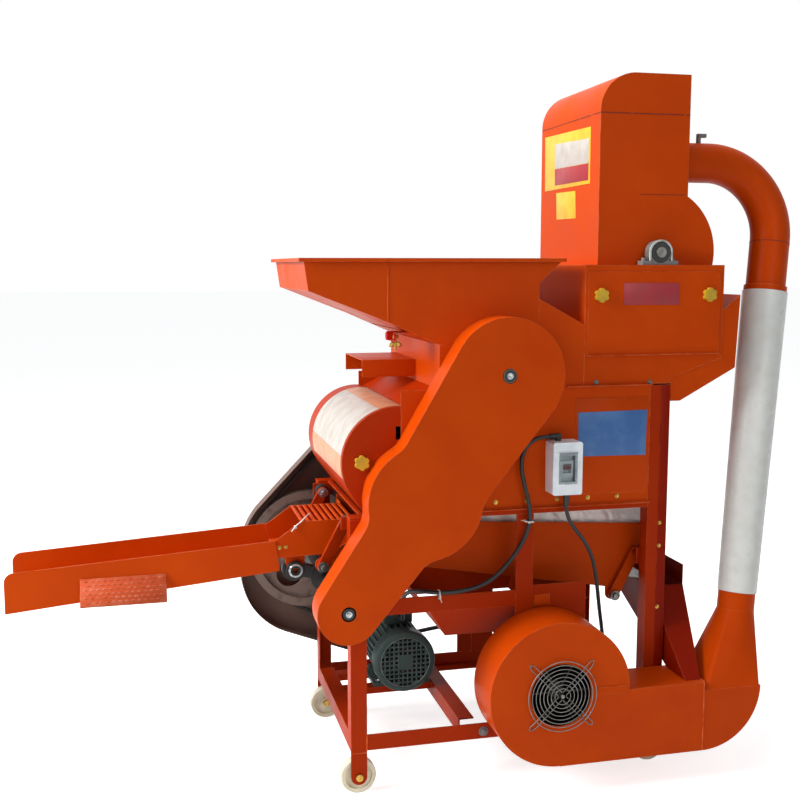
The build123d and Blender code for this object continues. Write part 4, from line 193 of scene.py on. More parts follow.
orange = enamel("sprayed_orange_enamel", "#b23702", "#c74703", "#e5875a", 0.38)
finish_nodes(orange, "front_belt_guard", "separation_box", "hopper", "drum_housing", "second_chamber",
             "screen_cover", "settling_box", "settling_cap", "shell_chute", "lift_fan_housing", "lift_elbow",
             "top_elbow", "sieve_box", "sieve_neck", "kernel_trough", "right_rockers")
# Darker, redder copies of the same enamel are painted shade: on the frame, the rockers and the inner sheets
# that stand in shade, darkest on the pod chute.
orange_enamel_shade = enamel("orange_enamel_painted_shade", "#9a2602", "#aa3103", "#d9744a", 0.4)
finish_nodes(orange_enamel_shade, "frame_posts", "frame_rails", "blower_housing", "left_rockers", "wind_box")
orange_enamel_deep_shade = enamel("orange_enamel_deep_painted_shade", "#7c1202", "#8e1d02", "#c9603c", 0.4)
finish_nodes(orange_enamel_deep_shade, "pod_chute")
gate_red = enamel("sprayed_bright_red_enamel", "#9e0c06", "#b0160a", "#d9744a", 0.4)
finish_nodes(gate_red, "feed_gate")
# The bought-in motor and the rear belt guard have grey enamels of their own.
motor_green = enamel("grey_green_motor_enamel", "#40504f", "#4c5d5a", "#8b9795", 0.36)
finish_nodes(motor_green, "motor_body", "motor_fan_cowl")
guard_grey = enamel("brown_grey_enamel", "#67544c", "#75625a", "#9a887e", 0.5)
finish_nodes(guard_grey, "rear_belt_guard")


# Bolts, axles, shafts and sieves: bright mild steel with a thin zinc coat, or worn bright by use.
# Zinc shows a faint spangle, fine rubbed lines and a duller bloom in patches.
ZINC_BLOOM = 0.02
RUBBED_LINES = (300.0, 300.0, 2500.0)


def bare_metal(name, pale, dull, rough, spangle):
    """Plated or worn bare metal, its spangle a size in metres."""
    made, tree, shader, place = new_look(name)
    shader.inputs["Metallic"].default_value = 1.0
    bloom = add(tree, "TexNoise", {"Vector": place, "Scale": 1 / ZINC_BLOOM, "Detail": 4.0})
    grains = add(tree, "TexVoronoi", {"Vector": place, "Scale": 1 / spangle})
    share = add(tree, "Math", {0: bloom.outputs[0], 1: grains.outputs["Distance"]}, operation="MULTIPLY")
    share = add(tree, "MapRange", {"Value": share.outputs[0], "From Min": 0.05, "From Max": 0.4})
    colour = add(tree, "Mix", {0: share.outputs[0], 6: srgb(pale), 7: srgb(dull)}, data_type="RGBA")
    tree.links.new(colour.outputs[2], shader.inputs["Base Color"])
    haze = add(tree, "MapRange", {"Value": bloom.outputs[0], "From Min": 0.3, "From Max": 0.7,
                                  "To Min": rough - 0.08, "To Max": rough + 0.12})
    tree.links.new(haze.outputs[0], shader.inputs["Roughness"])
    lines = add(tree, "Mapping", {"Vector": place, "Scale": RUBBED_LINES})
    lines = add(tree, "TexNoise", {"Vector": lines.outputs[0], "Scale": 1.0, "Detail": 2.0})
    rubbed = add(tree, "Bump", {"Height": lines.outputs[0], "Strength": 0.12, "Distance": 0.0004})
    tree.links.new(rubbed.outputs[0], shader.inputs["Normal"])
    return made


zinc = bare_metal("zinc_plated_steel", "#c9cbcc", "#8d8f92", 0.32, 0.006)
finish_nodes(zinc, "frame_bolts")
brass_zinc = bare_metal("yellow_passivated_zinc", "#c4a050", "#8a6c30", 0.36, 0.004)
finish_nodes(brass_zinc, "wheel_axles")
oiled_steel = bare_metal("oiled_turned_steel", "#7d7b78", "#64625d", 0.38, 0.03)
finish_nodes(oiled_steel, "drum_rotor", "second_rotor", "concave_screens", "sieve_deck", "finger_guard")


# Castings: grey iron from a sand mould, brushed over with thin grey paint.
# The mould leaves a coarse grain of about two millimetres, and rust shows through in the hollows.
RUST_STAIN = 0.03
SAND_GRAIN = 0.0022
CAST_EDGE = 0.0016


def casting(name, paint, rust, rough):
    """Sand-cast iron under thin paint."""
    made, tree, shader, place = new_look(name)
    stains = add(tree, "TexNoise", {"Vector": place, "Scale": 1 / RUST_STAIN, "Detail": 5.0})
    share = add(tree, "MapRange", {"Value": stains.outputs[0], "From Min": 0.52, "From Max": 0.72})
    colour = add(tree, "Mix", {0: share.outputs[0], 6: srgb(paint), 7: srgb(rust)}, data_type="RGBA")
    tree.links.new(colour.outputs[2], shader.inputs["Base Color"])
    shader.inputs["Roughness"].default_value = rough
    shader.inputs["Specular IOR Level"].default_value = 0.4
    sand = add(tree, "TexNoise", {"Vector": place, "Scale": 1 / SAND_GRAIN, "Detail": 2.0})
    edge = add(tree, "Bevel", {"Radius": CAST_EDGE}, samples=4)
    grain = add(tree, "Bump", {"Height": sand.outputs[0], "Strength": 0.35, "Distance": 0.0006,
                               "Normal": edge.outputs[0]})
    tree.links.new(grain.outputs[0], shader.inputs["Normal"])
    return made


iron = casting("grey_painted_cast_iron", "#6f6f6d", "#59463a", 0.55)
finish_nodes(iron, "jack_pulley", "shaft_bearings")
# The drive wheel's grey-beige paint is darkened as painted shade, for the shadow it lies in behind the guard.
wheel_iron_and_shade = casting("beige_cast_iron_and_painted_shade", "#6b5d54", "#4b3d35", 0.5)
finish_nodes(wheel_iron_and_shade, "drive_wheel")


# Moulded parts: plastic or rubber from a polished mould, with a faint grain and a little dust.
# The grain is drawn at two millimetres, coarser than the real one, so that it shows.
DUST_PATCH = 0.045
MOULD_EDGE = 0.001


def moulded(name, colour, dusty, rough, grain=0.002):
    """Moulded plastic or rubber."""
    made, tree, shader, place = new_look(name)
    dust = add(tree, "TexNoise", {"Vector": place, "Scale": 1 / DUST_PATCH, "Detail": 5.0})
    share = add(tree, "MapRange", {"Value": dust.outputs[0], "From Min": 0.42, "From Max": 0.7,
                                   "To Max": 0.8})
    tint = add(tree, "Mix", {0: share.outputs[0], 6: srgb(colour), 7: srgb(dusty)}, data_type="RGBA")
    tree.links.new(tint.outputs[2], shader.inputs["Base Color"])
    haze = add(tree, "MapRange", {"Value": dust.outputs[0], "From Min": 0.3, "From Max": 0.7,
                                  "To Min": rough - 0.05, "To Max": rough + 0.12})
    tree.links.new(haze.outputs[0], shader.inputs["Roughness"])
    shader.inputs["IOR"].default_value = 1.49
    shader.inputs["Specular IOR Level"].default_value = 0.4
    pebble = add(tree, "TexNoise", {"Vector": place, "Scale": 1 / grain, "Detail": 1.0})
    edge = add(tree, "Bevel", {"Radius": MOULD_EDGE}, samples=4)
    bump = add(tree, "Bump", {"Height": pebble.outputs[0], "Strength": 0.12, "Distance": 0.0003,
                              "Normal": edge.outputs[0]})
    tree.links.new(bump.outputs[0], shader.inputs["Normal"])
    return made


rubber = moulded("black_belt_rubber", "#191919", "#34302c", 0.7)
finish_nodes(rubber, "drive_belts", "rod_bush")
nylon = moulded("cream_cast_nylon", "#e6dfc8", "#c9bd9a", 0.4)
finish_nodes(nylon, "wheel_front_left", "wheel_back_left", "wheel_front_right", "wheel_back_right")
white_abs = moulded("white_moulded_abs", "#eaf1f6", "#d5dde3", 0.35)
finish_nodes(white_abs, "breaker_box")
red_toggle = moulded("red_moulded_nylon", "#9c2420", "#7c1c18", 0.4)
finish_nodes(red_toggle, "breaker_toggle")
yellow_knob = moulded("yellow_moulded_nylon", "#c9a21c", "#9c7f20", 0.42)
finish_nodes(yellow_knob, "cover_knob_left", "cover_knob_right", "blower_knob")
black_plastic = moulded("black_moulded_pvc", "#151517", "#2b2a29", 0.45)
finish_nodes(black_plastic, "cable_glands", "supply_plug", "motor_cable", "supply_cable", "supply_coil")
tube_white = moulded("white_extruded_pvc", "#d6d8d4", "#cbcbc6", 0.3, 0.006)
finish_nodes(tube_white, "lift_tube")


# The breaker's window: thin clear polycarbonate that snaps over the toggle.
# It is nearly colourless, with a smoky tint and soft moulding waves.
MOULDING_WAVE = 0.02
smoke, tree, shader, place = new_look("clear_polycarbonate")
waves = add(tree, "TexNoise", {"Vector": place, "Scale": 1 / MOULDING_WAVE, "Detail": 1.0})
ripple = add(tree, "Bump", {"Height": waves.outputs[0], "Strength": 0.1, "Distance": 0.0006})
tree.links.new(ripple.outputs[0], shader.inputs["Normal"])
tint = add(tree, "Mix", {0: waves.outputs[0], 6: srgb("#b4b9ba"), 7: srgb("#c9cdcd")}, data_type="RGBA")
tree.links.new(tint.outputs[2], shader.inputs["Base Color"])
shader.inputs["Transmission Weight"].default_value = 0.95
shader.inputs["Roughness"].default_value = 0.03
shader.inputs["IOR"].default_value = 1.15
finish_nodes(smoke, "breaker_window")


# Cables: round black rubber-sheathed mains cable, from the breaker to the motor and down to the floor.
# The spare length of the supply lies behind the lift fan in a tied coil of six turns.
MIDDLE = Vector((229.022210539242, 246.5, 0.0))


def spot(x, y, z):
    """A place in millimetres from the machine's front left frame corner, as metres in the frame."""
    return (Vector((x, y, z)) - MIDDLE) / 1000


def lead(name, points, diameter, material, body):
    """A cable as one smooth spline with these control points."""
    line = bpy.data.curves.new(name, "CURVE")
    line.dimensions = "3D"
    line.bevel_depth = diameter / 2
    line.bevel_resolution = 4
    line.resolution_u = 8
    line.use_fill_caps = True
    path = line.splines.new("NURBS")
    path.points.add(len(points) - 1)
    for knot, point in zip(path.points, points):
        knot.co = (*point, 1.0)
    path.order_u = 3
    path.use_endpoint_u = True
    line.materials.append(material)
    made = bpy.data.objects.new(name, line)
    bpy.context.scene.collection.objects.link(made)
    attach(made, body)
    return made


sheath = moulded("black_cable_rubber", "#141415", "#2a2826", 0.5, 0.003)
MOTOR_LEAD_D = 0.012
motor_route = [spot(*point) for point in (
    (556, -22, 984), (529, -22, 984), (504, -22, 974), (485, -22, 955), (476, -21, 930), (475, -21, 899),
    (483, -20, 857), (497, -22, 808), (504, -20, 757), (494, -15, 707), (461, -15, 655), (418, -17, 607),
    (366, -16, 573), (305, -13, 561), (246, -10, 560), (206, 14, 561), (184, 62, 549), (178, 120, 520),
    (186, 178, 480), (201, 232, 436), (216, 288, 395), (225, 333, 375), (225, 364, 375))]
motor_lead = lead("motor_lead", motor_route, MOTOR_LEAD_D, sheath, "frame")
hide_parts("motor_cable")

SUPPLY_LEAD_D = 0.011
COIL_MIDDLE = Vector((690.0, 250.0, 0.0))
TURN_RADII = (77.5, 66.5, 55.5, 55.5, 66.5, 77.5)
TURN_HEIGHTS = (6.5, 6.5, 6.5, 17.0, 17.0, 17.0)
TURN_POINTS = 16
CROSSING = 0.25
LAST_TURN = 0.25
supply_route = [spot(*point) for point in (
    (604, -30, 790), (607, -30, 760), (630, -28, 724), (662, -24, 687), (690, -17, 640), (708, -4, 583),
    (723, 12, 525), (737, 30, 468), (753, 48, 411), (768, 66, 352), (778, 82, 291), (786, 96, 229),
    (790, 110, 168), (790, 124, 110), (788, 140, 62), (784, 162, 24), (778, 196, 7), (771, 228, 6.5))]
turned = 0
while turned / TURN_POINTS < len(TURN_RADII) - 1 + LAST_TURN:
    turn = int(turned / TURN_POINTS)
    along = turned / TURN_POINTS - turn
    step = max(0.0, (along - 1 + CROSSING) / CROSSING)
    following = min(turn + 1, len(TURN_RADII) - 1)
    radius = TURN_RADII[turn] + (TURN_RADII[following] - TURN_RADII[turn]) * step
    height = TURN_HEIGHTS[turn] + (TURN_HEIGHTS[following] - TURN_HEIGHTS[turn]) * step
    angle = 2 * math.pi * turned / TURN_POINTS
    turn_x = COIL_MIDDLE.x + radius * math.cos(angle)
    turn_y = COIL_MIDDLE.y + radius * math.sin(angle)
    supply_route.append(spot(turn_x, turn_y, height))
    turned += 1
supply_route += [spot(690, 316, 18), spot(660, 316, 19), spot(630, 316, 19)]
supply_lead = lead("supply_lead", supply_route, SUPPLY_LEAD_D, sheath, "frame")
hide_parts("supply_cable", "supply_coil")


# Cable ties: thin white nylon straps pulled round the cable, with their cut tails standing off.
# One holds the cable to the middle post, one to the middle rail, and one closes the coil.
def solid_piece(name, mesh, material, body, sharp=35.0):
    """Makes a finished mesh into a piece that moves with a body."""
    bmesh.ops.recalc_face_normals(mesh, faces=mesh.faces)
    data = bpy.data.meshes.new(name)
    mesh.to_mesh(data)
    mesh.free()
    data.materials.append(material)
    data.shade_smooth()
    data.set_sharp_from_angle(angle=math.radians(sharp))
    made = bpy.data.objects.new(name, data)
    bpy.context.scene.collection.objects.link(made)
    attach(made, body)
    return made


def picked(made, kind):
    """Those of an operator's results that are of one kind."""
    return [item for item in made["geom"] if isinstance(item, kind)]


def soften(mesh, edges, width):
    """Rounds edges over a width."""
    bmesh.ops.bevel(mesh, geom=edges, offset=width, segments=2, profile=0.5, affect="EDGES", material=-1)


def pointed(direction):
    """The turn that points a shape's own height along a direction."""
    return Vector(direction).to_track_quat("Z", "Y").to_matrix().to_4x4()


def strap(mesh, middle, along, side, across_a, across_b, width, thick):
    """Adds a flat band round a bundle: across_a is its half size along side, across_b square to that."""
    side = (side - along * side.dot(along)).normalized()
    up = along.cross(side)
    turn = Matrix((side, up, along)).transposed().to_4x4()
    stand = Matrix.Translation(middle) @ turn @ Matrix.Diagonal((across_a, across_b, 1.0, 1.0))
    made = bmesh.ops.create_circle(mesh, segments=28, radius=1.0, matrix=stand)
    low = made["verts"]
    bmesh.ops.translate(mesh, verts=low, vec=-along * width / 2)
    rim = list({edge for vert in low for edge in vert.link_edges})
    grown = bmesh.ops.extrude_edge_only(mesh, edges=rim)
    bmesh.ops.translate(mesh, verts=picked(grown, bmesh.types.BMVert), vec=along * width)
    band = picked(grown, bmesh.types.BMFace)
    bmesh.ops.recalc_face_normals(mesh, faces=band)
    bmesh.ops.solidify(mesh, geom=band, thickness=-thick)


def tie_lock(mesh, place, tail, size):
    """Adds the small locking block of a tie, with its cut tail."""
    block = bmesh.ops.create_cube(mesh, size=size, matrix=Matrix.Translation(place))
    edges = list({edge for vert in block["verts"] for edge in vert.link_edges})
    soften(mesh, edges, size * 0.16)
    stand = Matrix.Translation(place + tail / 2) @ pointed(tail)
    stand = stand @ Matrix.Diagonal((size * 0.55, size * 0.2, tail.length, 1.0))
    bmesh.ops.create_cube(mesh, size=1.0, matrix=stand)


tie_nylon = moulded("white_tie_nylon", "#d8d8d2", "#c4c2ba", 0.4)
BACKWARD = Vector((0.0, 1.0, 0.0))
TIE_WIDTH = 0.004
TIE_LOCK = 0.006
for name, place, along, halves, thick, lock, tail in (
        ("post_tie", (502, -12, 748), (0.1, 0.0, 1.0), (0.0135, 0.0135), 0.0012,
         (497, -27, 748), (-0.024, -0.004, 0.008)),
        ("rail_tie", (246, -6, 555), (1.0, 0.0, 0.0), (0.0125, 0.0125), 0.0012,
         (246, -18, 552), (0.004, -0.004, -0.016)),
        ("coil_tie", (690, 184, 12.8), (1.0, 0.0, 0.0), (0.0205, 0.0118), 0.0008,
         (690, 184, 27), (0.012, -0.004, 0.006))):
    mesh = bmesh.new()
    strap(mesh, spot(*place), Vector(along).normalized(), BACKWARD, *halves, TIE_WIDTH, thick)
    tie_lock(mesh, spot(*lock), Vector(tail), TIE_LOCK)
    solid_piece(name, mesh, tie_nylon, "frame")


# The dust cloth: silver-coated woven tarpaulin, clamped under the deck in front of and behind the sieve.
# It hangs slack and crumpled, so that the sieve can swing without shaking dust out.
cloth_look, tree, shader, place = new_look("silver_coated_tarpaulin")
# Tape yarns of this cloth are about 2.5 mm wide, and a wave of scale one is 0.31 m long.
YARN = 0.0025
BANDS = 1 / YARN / 3.2
CLOTH_STAIN = 0.06
warp = add(tree, "TexWave", {"Vector": place, "Scale": BANDS}, bands_direction="X")
weft = add(tree, "TexWave", {"Vector": place, "Scale": BANDS}, bands_direction="Z")
weave = add(tree, "Math", {0: warp.outputs["Fac"], 1: weft.outputs["Fac"]}, operation="MULTIPLY")
stains = add(tree, "TexNoise", {"Vector": place, "Scale": 1 / CLOTH_STAIN, "Detail": 5.0})
share = add(tree, "MapRange", {"Value": stains.outputs[0], "From Min": 0.4, "From Max": 0.7})
tone = add(tree, "Mix", {0: share.outputs[0], 6: srgb("#dcd3cf"), 7: srgb("#b3a29d")}, data_type="RGBA")
tree.links.new(tone.outputs[2], shader.inputs["Base Color"])
shader.inputs["Metallic"].default_value = 0.2
shader.inputs["Roughness"].default_value = 0.42
shader.inputs["Sheen Weight"].default_value = 0.15
relief = add(tree, "Bump", {"Height": weave.outputs[0], "Strength": 0.3, "Distance": 0.0005})
tree.links.new(relief.outputs[0], shader.inputs["Normal"])

CLOTH_X = (270.0, 912.0)
CLOTH_Z = (700.0, 776.0)
CLOTH_INNER_Y = (110.0, 460.0)
CLOTH_SLACK = 0.011
CLOTH_DROP = 0.014
CLOTH_THICK = 0.0008
FOLD = (0.035, 0.09)
CREASE = (0.022, 0.03, 0.02)
for name, edge_y, inward in (("front_dust_cloth", CLOTH_INNER_Y[0], 1.0),
                             ("back_dust_cloth", CLOTH_INNER_Y[1], -1.0)):
    mesh = bmesh.new()
    low = spot(CLOTH_X[0], edge_y, CLOTH_Z[0])
    high = spot(CLOTH_X[1], edge_y, CLOTH_Z[1])
    middle = (low + high) / 2
    stand = Matrix.Translation(middle) @ Matrix.Rotation(math.pi / 2, 4, "X")
    stand = stand @ Matrix.Diagonal(((high.x - low.x) / 2, (high.z - low.z) / 2, 1.0, 1.0))
    bmesh.ops.create_grid(mesh, x_segments=200, y_segments=30, size=1.0, matrix=stand)
    for vert in mesh.verts:
        hang = (high.z - vert.co.z) / (high.z - low.z)
        folds = noise.noise(Vector((vert.co.x / FOLD[0], vert.co.z / FOLD[1], 2.0 * inward)))
        slant = vert.co.x / CREASE[0] + vert.co.z / CREASE[1]
        creases = 1.0 - abs(noise.noise(Vector((slant, vert.co.z / CREASE[2], 7.0))))
        wave = (0.5 + 0.5 * folds) * 0.6 + creases * 0.4
        vert.co.y += inward * CLOTH_SLACK * wave * min(1.0, 0.15 + 1.6 * hang)
        vert.co.z -= CLOTH_DROP * hang * (vert.co.x - low.x) / (high.x - low.x)
    bmesh.ops.recalc_face_normals(mesh, faces=mesh.faces)
    bmesh.ops.solidify(mesh, geom=mesh.faces[:], thickness=CLOTH_THICK)
    cloth = solid_piece(name, mesh, cloth_look, "frame", 60.0)
    if inward > 0:
        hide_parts("dust_skirt")


# The finger guard: eight rings of round steel wire welded to four pairs of spoke wires.
# The spokes run out past the fan's inlet and turn back to screws on the housing.
def bent_wire(mesh, points, diameter, closed=False):
    """Adds a round wire that follows these points."""
    line = bpy.data.curves.new("wire", "CURVE")
    line.dimensions = "3D"
    line.bevel_depth = diameter / 2
    line.bevel_resolution = 2
    line.use_fill_caps = True
    path = line.splines.new("POLY")
    path.points.add(len(points) - 1)
    for knot, point in zip(path.points, points):
        knot.co = (*point, 1.0)
    path.use_cyclic_u = closed
    holder = bpy.data.objects.new("wire", line)
    mesh.from_mesh(bpy.data.meshes.new_from_object(holder))
    bpy.data.objects.remove(holder)
    bpy.data.curves.remove(line)


def hoop(middle, y, radius, parts):
    """The points of a circle that looks forward, round a middle given as x and z."""
    turn = [2 * math.pi * part / parts for part in range(parts)]
    return [spot(middle[0] + radius * math.cos(a), y, middle[1] + radius * math.sin(a)) for a in turn]


def front_disc(mesh, middle, y, back_r, front_r, depth, parts):
    """Adds a flat cone that looks forward, round a middle given as x and z."""
    stand = Matrix.Translation(spot(middle[0], y, middle[1])) @ Matrix.Rotation(math.pi / 2, 4, "X")
    bmesh.ops.create_cone(mesh, cap_ends=True, segments=parts, radius1=back_r, radius2=front_r, depth=depth,
                          matrix=stand)


FAN_EYE = (552.0, 294.0)
FAN_FRONT_Y = -149.0
GUARD_RINGS = 8
GUARD_RING_STAND = 10.0
GUARD_EDGE_R = 98.0
GUARD_FOOT_R = 122.0
GUARD_STEP = 10.8
GUARD_WIRE = 0.0026
SPOKE_HALF_GAP = 6.5
SPOKE_STAND = -7.0
FOOT_STAND = -1.5
mesh = bmesh.new()
for ring in range(GUARD_RINGS):
    ring_points = hoop(FAN_EYE, FAN_FRONT_Y - GUARD_RING_STAND, GUARD_EDGE_R - ring * GUARD_STEP, 56)
    bent_wire(mesh, ring_points, GUARD_WIRE, True)
for corner in range(4):
    angle = math.radians(45 + 90 * corner)
    out = Vector((math.cos(angle), 0.0, math.sin(angle)))
    across = Vector((-math.sin(angle), 0.0, math.cos(angle)))
    hub = Vector((FAN_EYE[0], 0.0, FAN_EYE[1]))
    for side in (-SPOKE_HALF_GAP, SPOKE_HALF_GAP):
        places = [(8, SPOKE_STAND), (GUARD_EDGE_R + 4, SPOKE_STAND), (GUARD_FOOT_R - 8, SPOKE_STAND / 2),
                  (GUARD_FOOT_R, FOOT_STAND)]
        bent_wire(mesh, [spot(*(hub + out * r + across * side + Vector((0, FAN_FRONT_Y + y, 0))))
                         for r, y in places], GUARD_WIRE)
    loop = []
    for part in (-1.0, -0.5, 0.0, 0.5, 1.0):
        bow = across * part * SPOKE_HALF_GAP * math.cos(part * 0.9) + out * SPOKE_HALF_GAP * (1 - part * part)
        loop.append(spot(*(hub + out * GUARD_FOOT_R + bow + Vector((0, FAN_FRONT_Y + FOOT_STAND, 0)))))
    bent_wire(mesh, loop, GUARD_WIRE)
front_disc(mesh, FAN_EYE, FAN_FRONT_Y - 10.5, 0.0065, 0.005, 0.003, 32)
guard_wires = solid_piece("finger_guard_wires", mesh, oiled_steel, "frame", 50.0)
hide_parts("finger_guard")


# Screws and bolts: hexagon heads on washers, zinc plated or yellow passivated, at the flanges and posts.
# They were driven in after the sheets were sprayed, so their plating shows.
def bolt_head(mesh, place, facing, across):
    """Adds a hexagon head on its washer, standing off a face along facing; across is over its flats."""
    stand = Matrix.Translation(place) @ pointed(facing)
    washer = across * 0.14
    head = across * 0.5
    corner = across * 0.577
    bmesh.ops.create_cone(mesh, cap_ends=True, segments=20, radius1=across * 0.9, radius2=across * 0.86,
                          depth=washer, matrix=stand @ Matrix.Translation((0, 0, washer / 2)))
    made = bmesh.ops.create_cone(mesh, cap_ends=True, segments=6, radius1=corner, radius2=corner, depth=head,
                                 matrix=stand @ Matrix.Translation((0, 0, washer + head / 2)))
    top = [edge for vert in made["verts"] for edge in vert.link_edges
           if all((stand.inverted() @ end.co).z > washer + head * 0.9 for end in edge.verts)]
    soften(mesh, list(set(top)), across * 0.09)


FORWARD = (0.0, -1.0, 0.0)
FRAME_BACK_Y = 570.0
FLANGE_SCREW = 0.0072
FLANGE_SCREW_Z = 803.0
SHEET_SCREW = 0.0065
mesh = bmesh.new()
for x in (319, 409, 499, 589, 681, 770):
    bolt_head(mesh, spot(x, 0, FLANGE_SCREW_Z), FORWARD, FLANGE_SCREW)
    bolt_head(mesh, spot(x, FRAME_BACK_Y, FLANGE_SCREW_Z), BACKWARD, FLANGE_SCREW)
solid_piece("deck_flange_screws", mesh, brass_zinc, "frame")
mesh = bmesh.new()
for z in (718, 651, 470):
    bolt_head(mesh, spot(903, -1.2, z), FORWARD, SHEET_SCREW)
solid_piece("right_post_screws", mesh, brass_zinc, "frame")


# Bare plates: plain films of coloured vinyl, stuck on the box, the cover, the settling box and the blower.
# Vinyl is smooth and a little glossy, with edges that lift and grey where fingers rubbed.
def plate(mesh, corners, out, thick):
    """Adds a thin plate with these corners, standing off its face along out."""
    face = mesh.faces.new([mesh.verts.new(corner) for corner in corners])
    grown = bmesh.ops.extrude_face_region(mesh, geom=[face])
    bmesh.ops.translate(mesh, verts=picked(grown, bmesh.types.BMVert), vec=Vector(out) * thick)
    soften(mesh, picked(grown, bmesh.types.BMEdge), thick * 0.4)


def front_plate(mesh, y, corners, thick):
    """Adds a plate that looks forward, its corners given as x and z."""
    plate(mesh, [spot(x, y, z) for x, z in corners], FORWARD, thick)


def left_plate(mesh, x, corners, thick):
    """Adds a plate that looks left, its corners given as y and z."""
    plate(mesh, [spot(x, y, z) for y, z in corners], LEFTWARD, thick)


LEFTWARD = (-1.0, 0.0, 0.0)
VINYL_GRAIN = 0.004
SETTLING_X = 715.0
FILM_X = 714.4
blue_vinyl = moulded("blue_vinyl", "#2f5f9c", "#4a74a8", 0.32, VINYL_GRAIN)
crimson_vinyl = moulded("crimson_vinyl", "#9c1f2a", "#8a2a2c", 0.34, VINYL_GRAIN)
yellow_vinyl = moulded("yellow_vinyl", "#e2b021", "#c99d2c", 0.34, VINYL_GRAIN)
white_vinyl = moulded("white_vinyl", "#b9b4ac", "#a89f95", 0.38, VINYL_GRAIN)
# A pale peach over orange paint, as painted highlight on brightly lit faces.
peach_painted_highlight = moulded("peach_painted_highlight", "#c98f6c", "#b98360", 0.38, VINYL_GRAIN)
mesh = bmesh.new()
front_plate(mesh, -1.2, ((647, 1045), (855, 1047), (853, 918), (649, 921)), 0.0008)
solid_piece("box_plate", mesh, blue_vinyl, "frame")
mesh = bmesh.new()
front_plate(mesh, -2, ((774, 1403), (943, 1402), (943, 1341), (774, 1342)), 0.0012)
solid_piece("cover_plate", mesh, crimson_vinyl, "screen_cover")
mesh = bmesh.new()
left_plate(mesh, SETTLING_X, ((461, 1845), (110, 1837), (109, 1680), (457, 1680)), 0.0006)
left_plate(mesh, SETTLING_X, ((362, 1669), (214, 1666), (207, 1587), (356, 1589)), 0.0006)
solid_piece("settling_plates", mesh, yellow_vinyl, "frame")
mesh = bmesh.new()
left_plate(mesh, FILM_X, ((378, 1816), (120, 1806), (120, 1738), (376, 1742)), 0.0005)
solid_piece("settling_white_plate", mesh, white_vinyl, "frame")
mesh = bmesh.new()
left_plate(mesh, FILM_X, ((376, 1741), (120, 1737), (121, 1690), (373, 1692)), 0.0005)
solid_piece("settling_red_plate", mesh, crimson_vinyl, "frame")

BLOWER_EYE = (130.0, 926.0)
BLOWER_SKIN_R = 151.0
SHEET_R = BLOWER_SKIN_R + 0.7
SHEET_Y = (16.0, 250.0, 486.0)
# The white sheet is vinyl film; the peach strips at its left edge and over the top are painted highlight on
# the orange paint.
for name, look, slot, first, last in (("blower_cover_sheet", white_vinyl, "white_plastic", 108.0, 172.0),
                                      ("blower_left_edge_painted_highlight", peach_painted_highlight, "orange_paint", 172.2, 196.0),
                                      ("blower_top_painted_highlight", peach_painted_highlight, "orange_paint", 84.0, 107.8)):
    mesh = bmesh.new()
    start = math.radians(first)
    edge_x = BLOWER_EYE[0] + SHEET_R * math.cos(start)
    edge_z = BLOWER_EYE[1] + SHEET_R * math.sin(start)
    ends = [mesh.verts.new(spot(edge_x, y, edge_z)) for y in SHEET_Y]
    strip = [mesh.edges.new(ends[:2]), mesh.edges.new(ends[1:])]
    bmesh.ops.spin(mesh, geom=ends + strip, cent=spot(BLOWER_EYE[0], 0, BLOWER_EYE[1]), axis=(0, -1, 0),
                   angle=math.radians(last - first), steps=32, use_merge=False)
    bmesh.ops.recalc_face_normals(mesh, faces=mesh.faces)
    bmesh.ops.solidify(mesh, geom=mesh.faces[:], thickness=0.0006)
    solid_piece(name, mesh, look, "frame")


# Shaft ends: a blackened washer and a bolt close each shaft behind the holes of the belt guard.
# The second drum's end shows its lathe centre, inside the pale rim of its pillow block.
blackened_steel_and_shade = casting("blackened_steel_and_painted_shade", "#18181a", "#2a2420", 0.5)
# The lift fan and blower impellers are black as painted shade, for the dark inside of their inlets; the
# washers are blackened steel.
finish_nodes(blackened_steel_and_shade, "lift_rotor", "blower_rotor", "motor_rotor", "counter_shaft", "connecting_rod")
GUARD_FACE_Y = -85.0
SHAFT_BOLT = 0.010
for name, body, x, z in (("counter_shaft_end", "counter_shaft", -20, 543),
                         ("drum_shaft_end", "drum_rotor", 417, 1160)):
    mesh = bmesh.new()
    front_disc(mesh, (x, z), GUARD_FACE_Y + 0.2, 0.0165, 0.015, 0.0016, 32)
    solid_piece(name + "_washer", mesh, blackened_steel_and_shade, body)
    mesh = bmesh.new()
    bolt_head(mesh, spot(x, GUARD_FACE_Y - 0.6, z), FORWARD, SHAFT_BOLT)
    solid_piece(name + "_bolt", mesh, zinc, body)

PILLOW_EYE = (887.0, 1487.0)
PILLOW_FRONT_Y = 5.5
PILLOW_FOOT_Z = 1464.0
mesh = bmesh.new()
rim = [mesh.verts.new(spot(PILLOW_EYE[0] + radius, y, PILLOW_EYE[1]))
       for radius, y in ((30, PILLOW_FRONT_Y + 1), (30, PILLOW_FRONT_Y - 3), (35, PILLOW_FRONT_Y - 3),
                         (35, PILLOW_FRONT_Y + 1))]
profile = mesh.faces.new(rim)
spun = bmesh.ops.spin(mesh, geom=[profile], cent=spot(PILLOW_EYE[0], 0, PILLOW_EYE[1]), axis=(0, -1, 0),
                      angle=math.pi, steps=28, use_merge=False)
far_end = [item for item in spun["geom_last"] if isinstance(item, bmesh.types.BMFace)]
drop = (0, 0, (PILLOW_FOOT_Z - PILLOW_EYE[1]) / 1000)
for foot in (profile, far_end[0]):
    grown = bmesh.ops.extrude_face_region(mesh, geom=[foot])
    bmesh.ops.translate(mesh, verts=picked(grown, bmesh.types.BMVert), vec=drop)
    bmesh.ops.delete(mesh, geom=[foot], context="FACES_ONLY")
pale_iron = casting("pale_grey_painted_iron", "#b9bab6", "#8f8b85", 0.45)
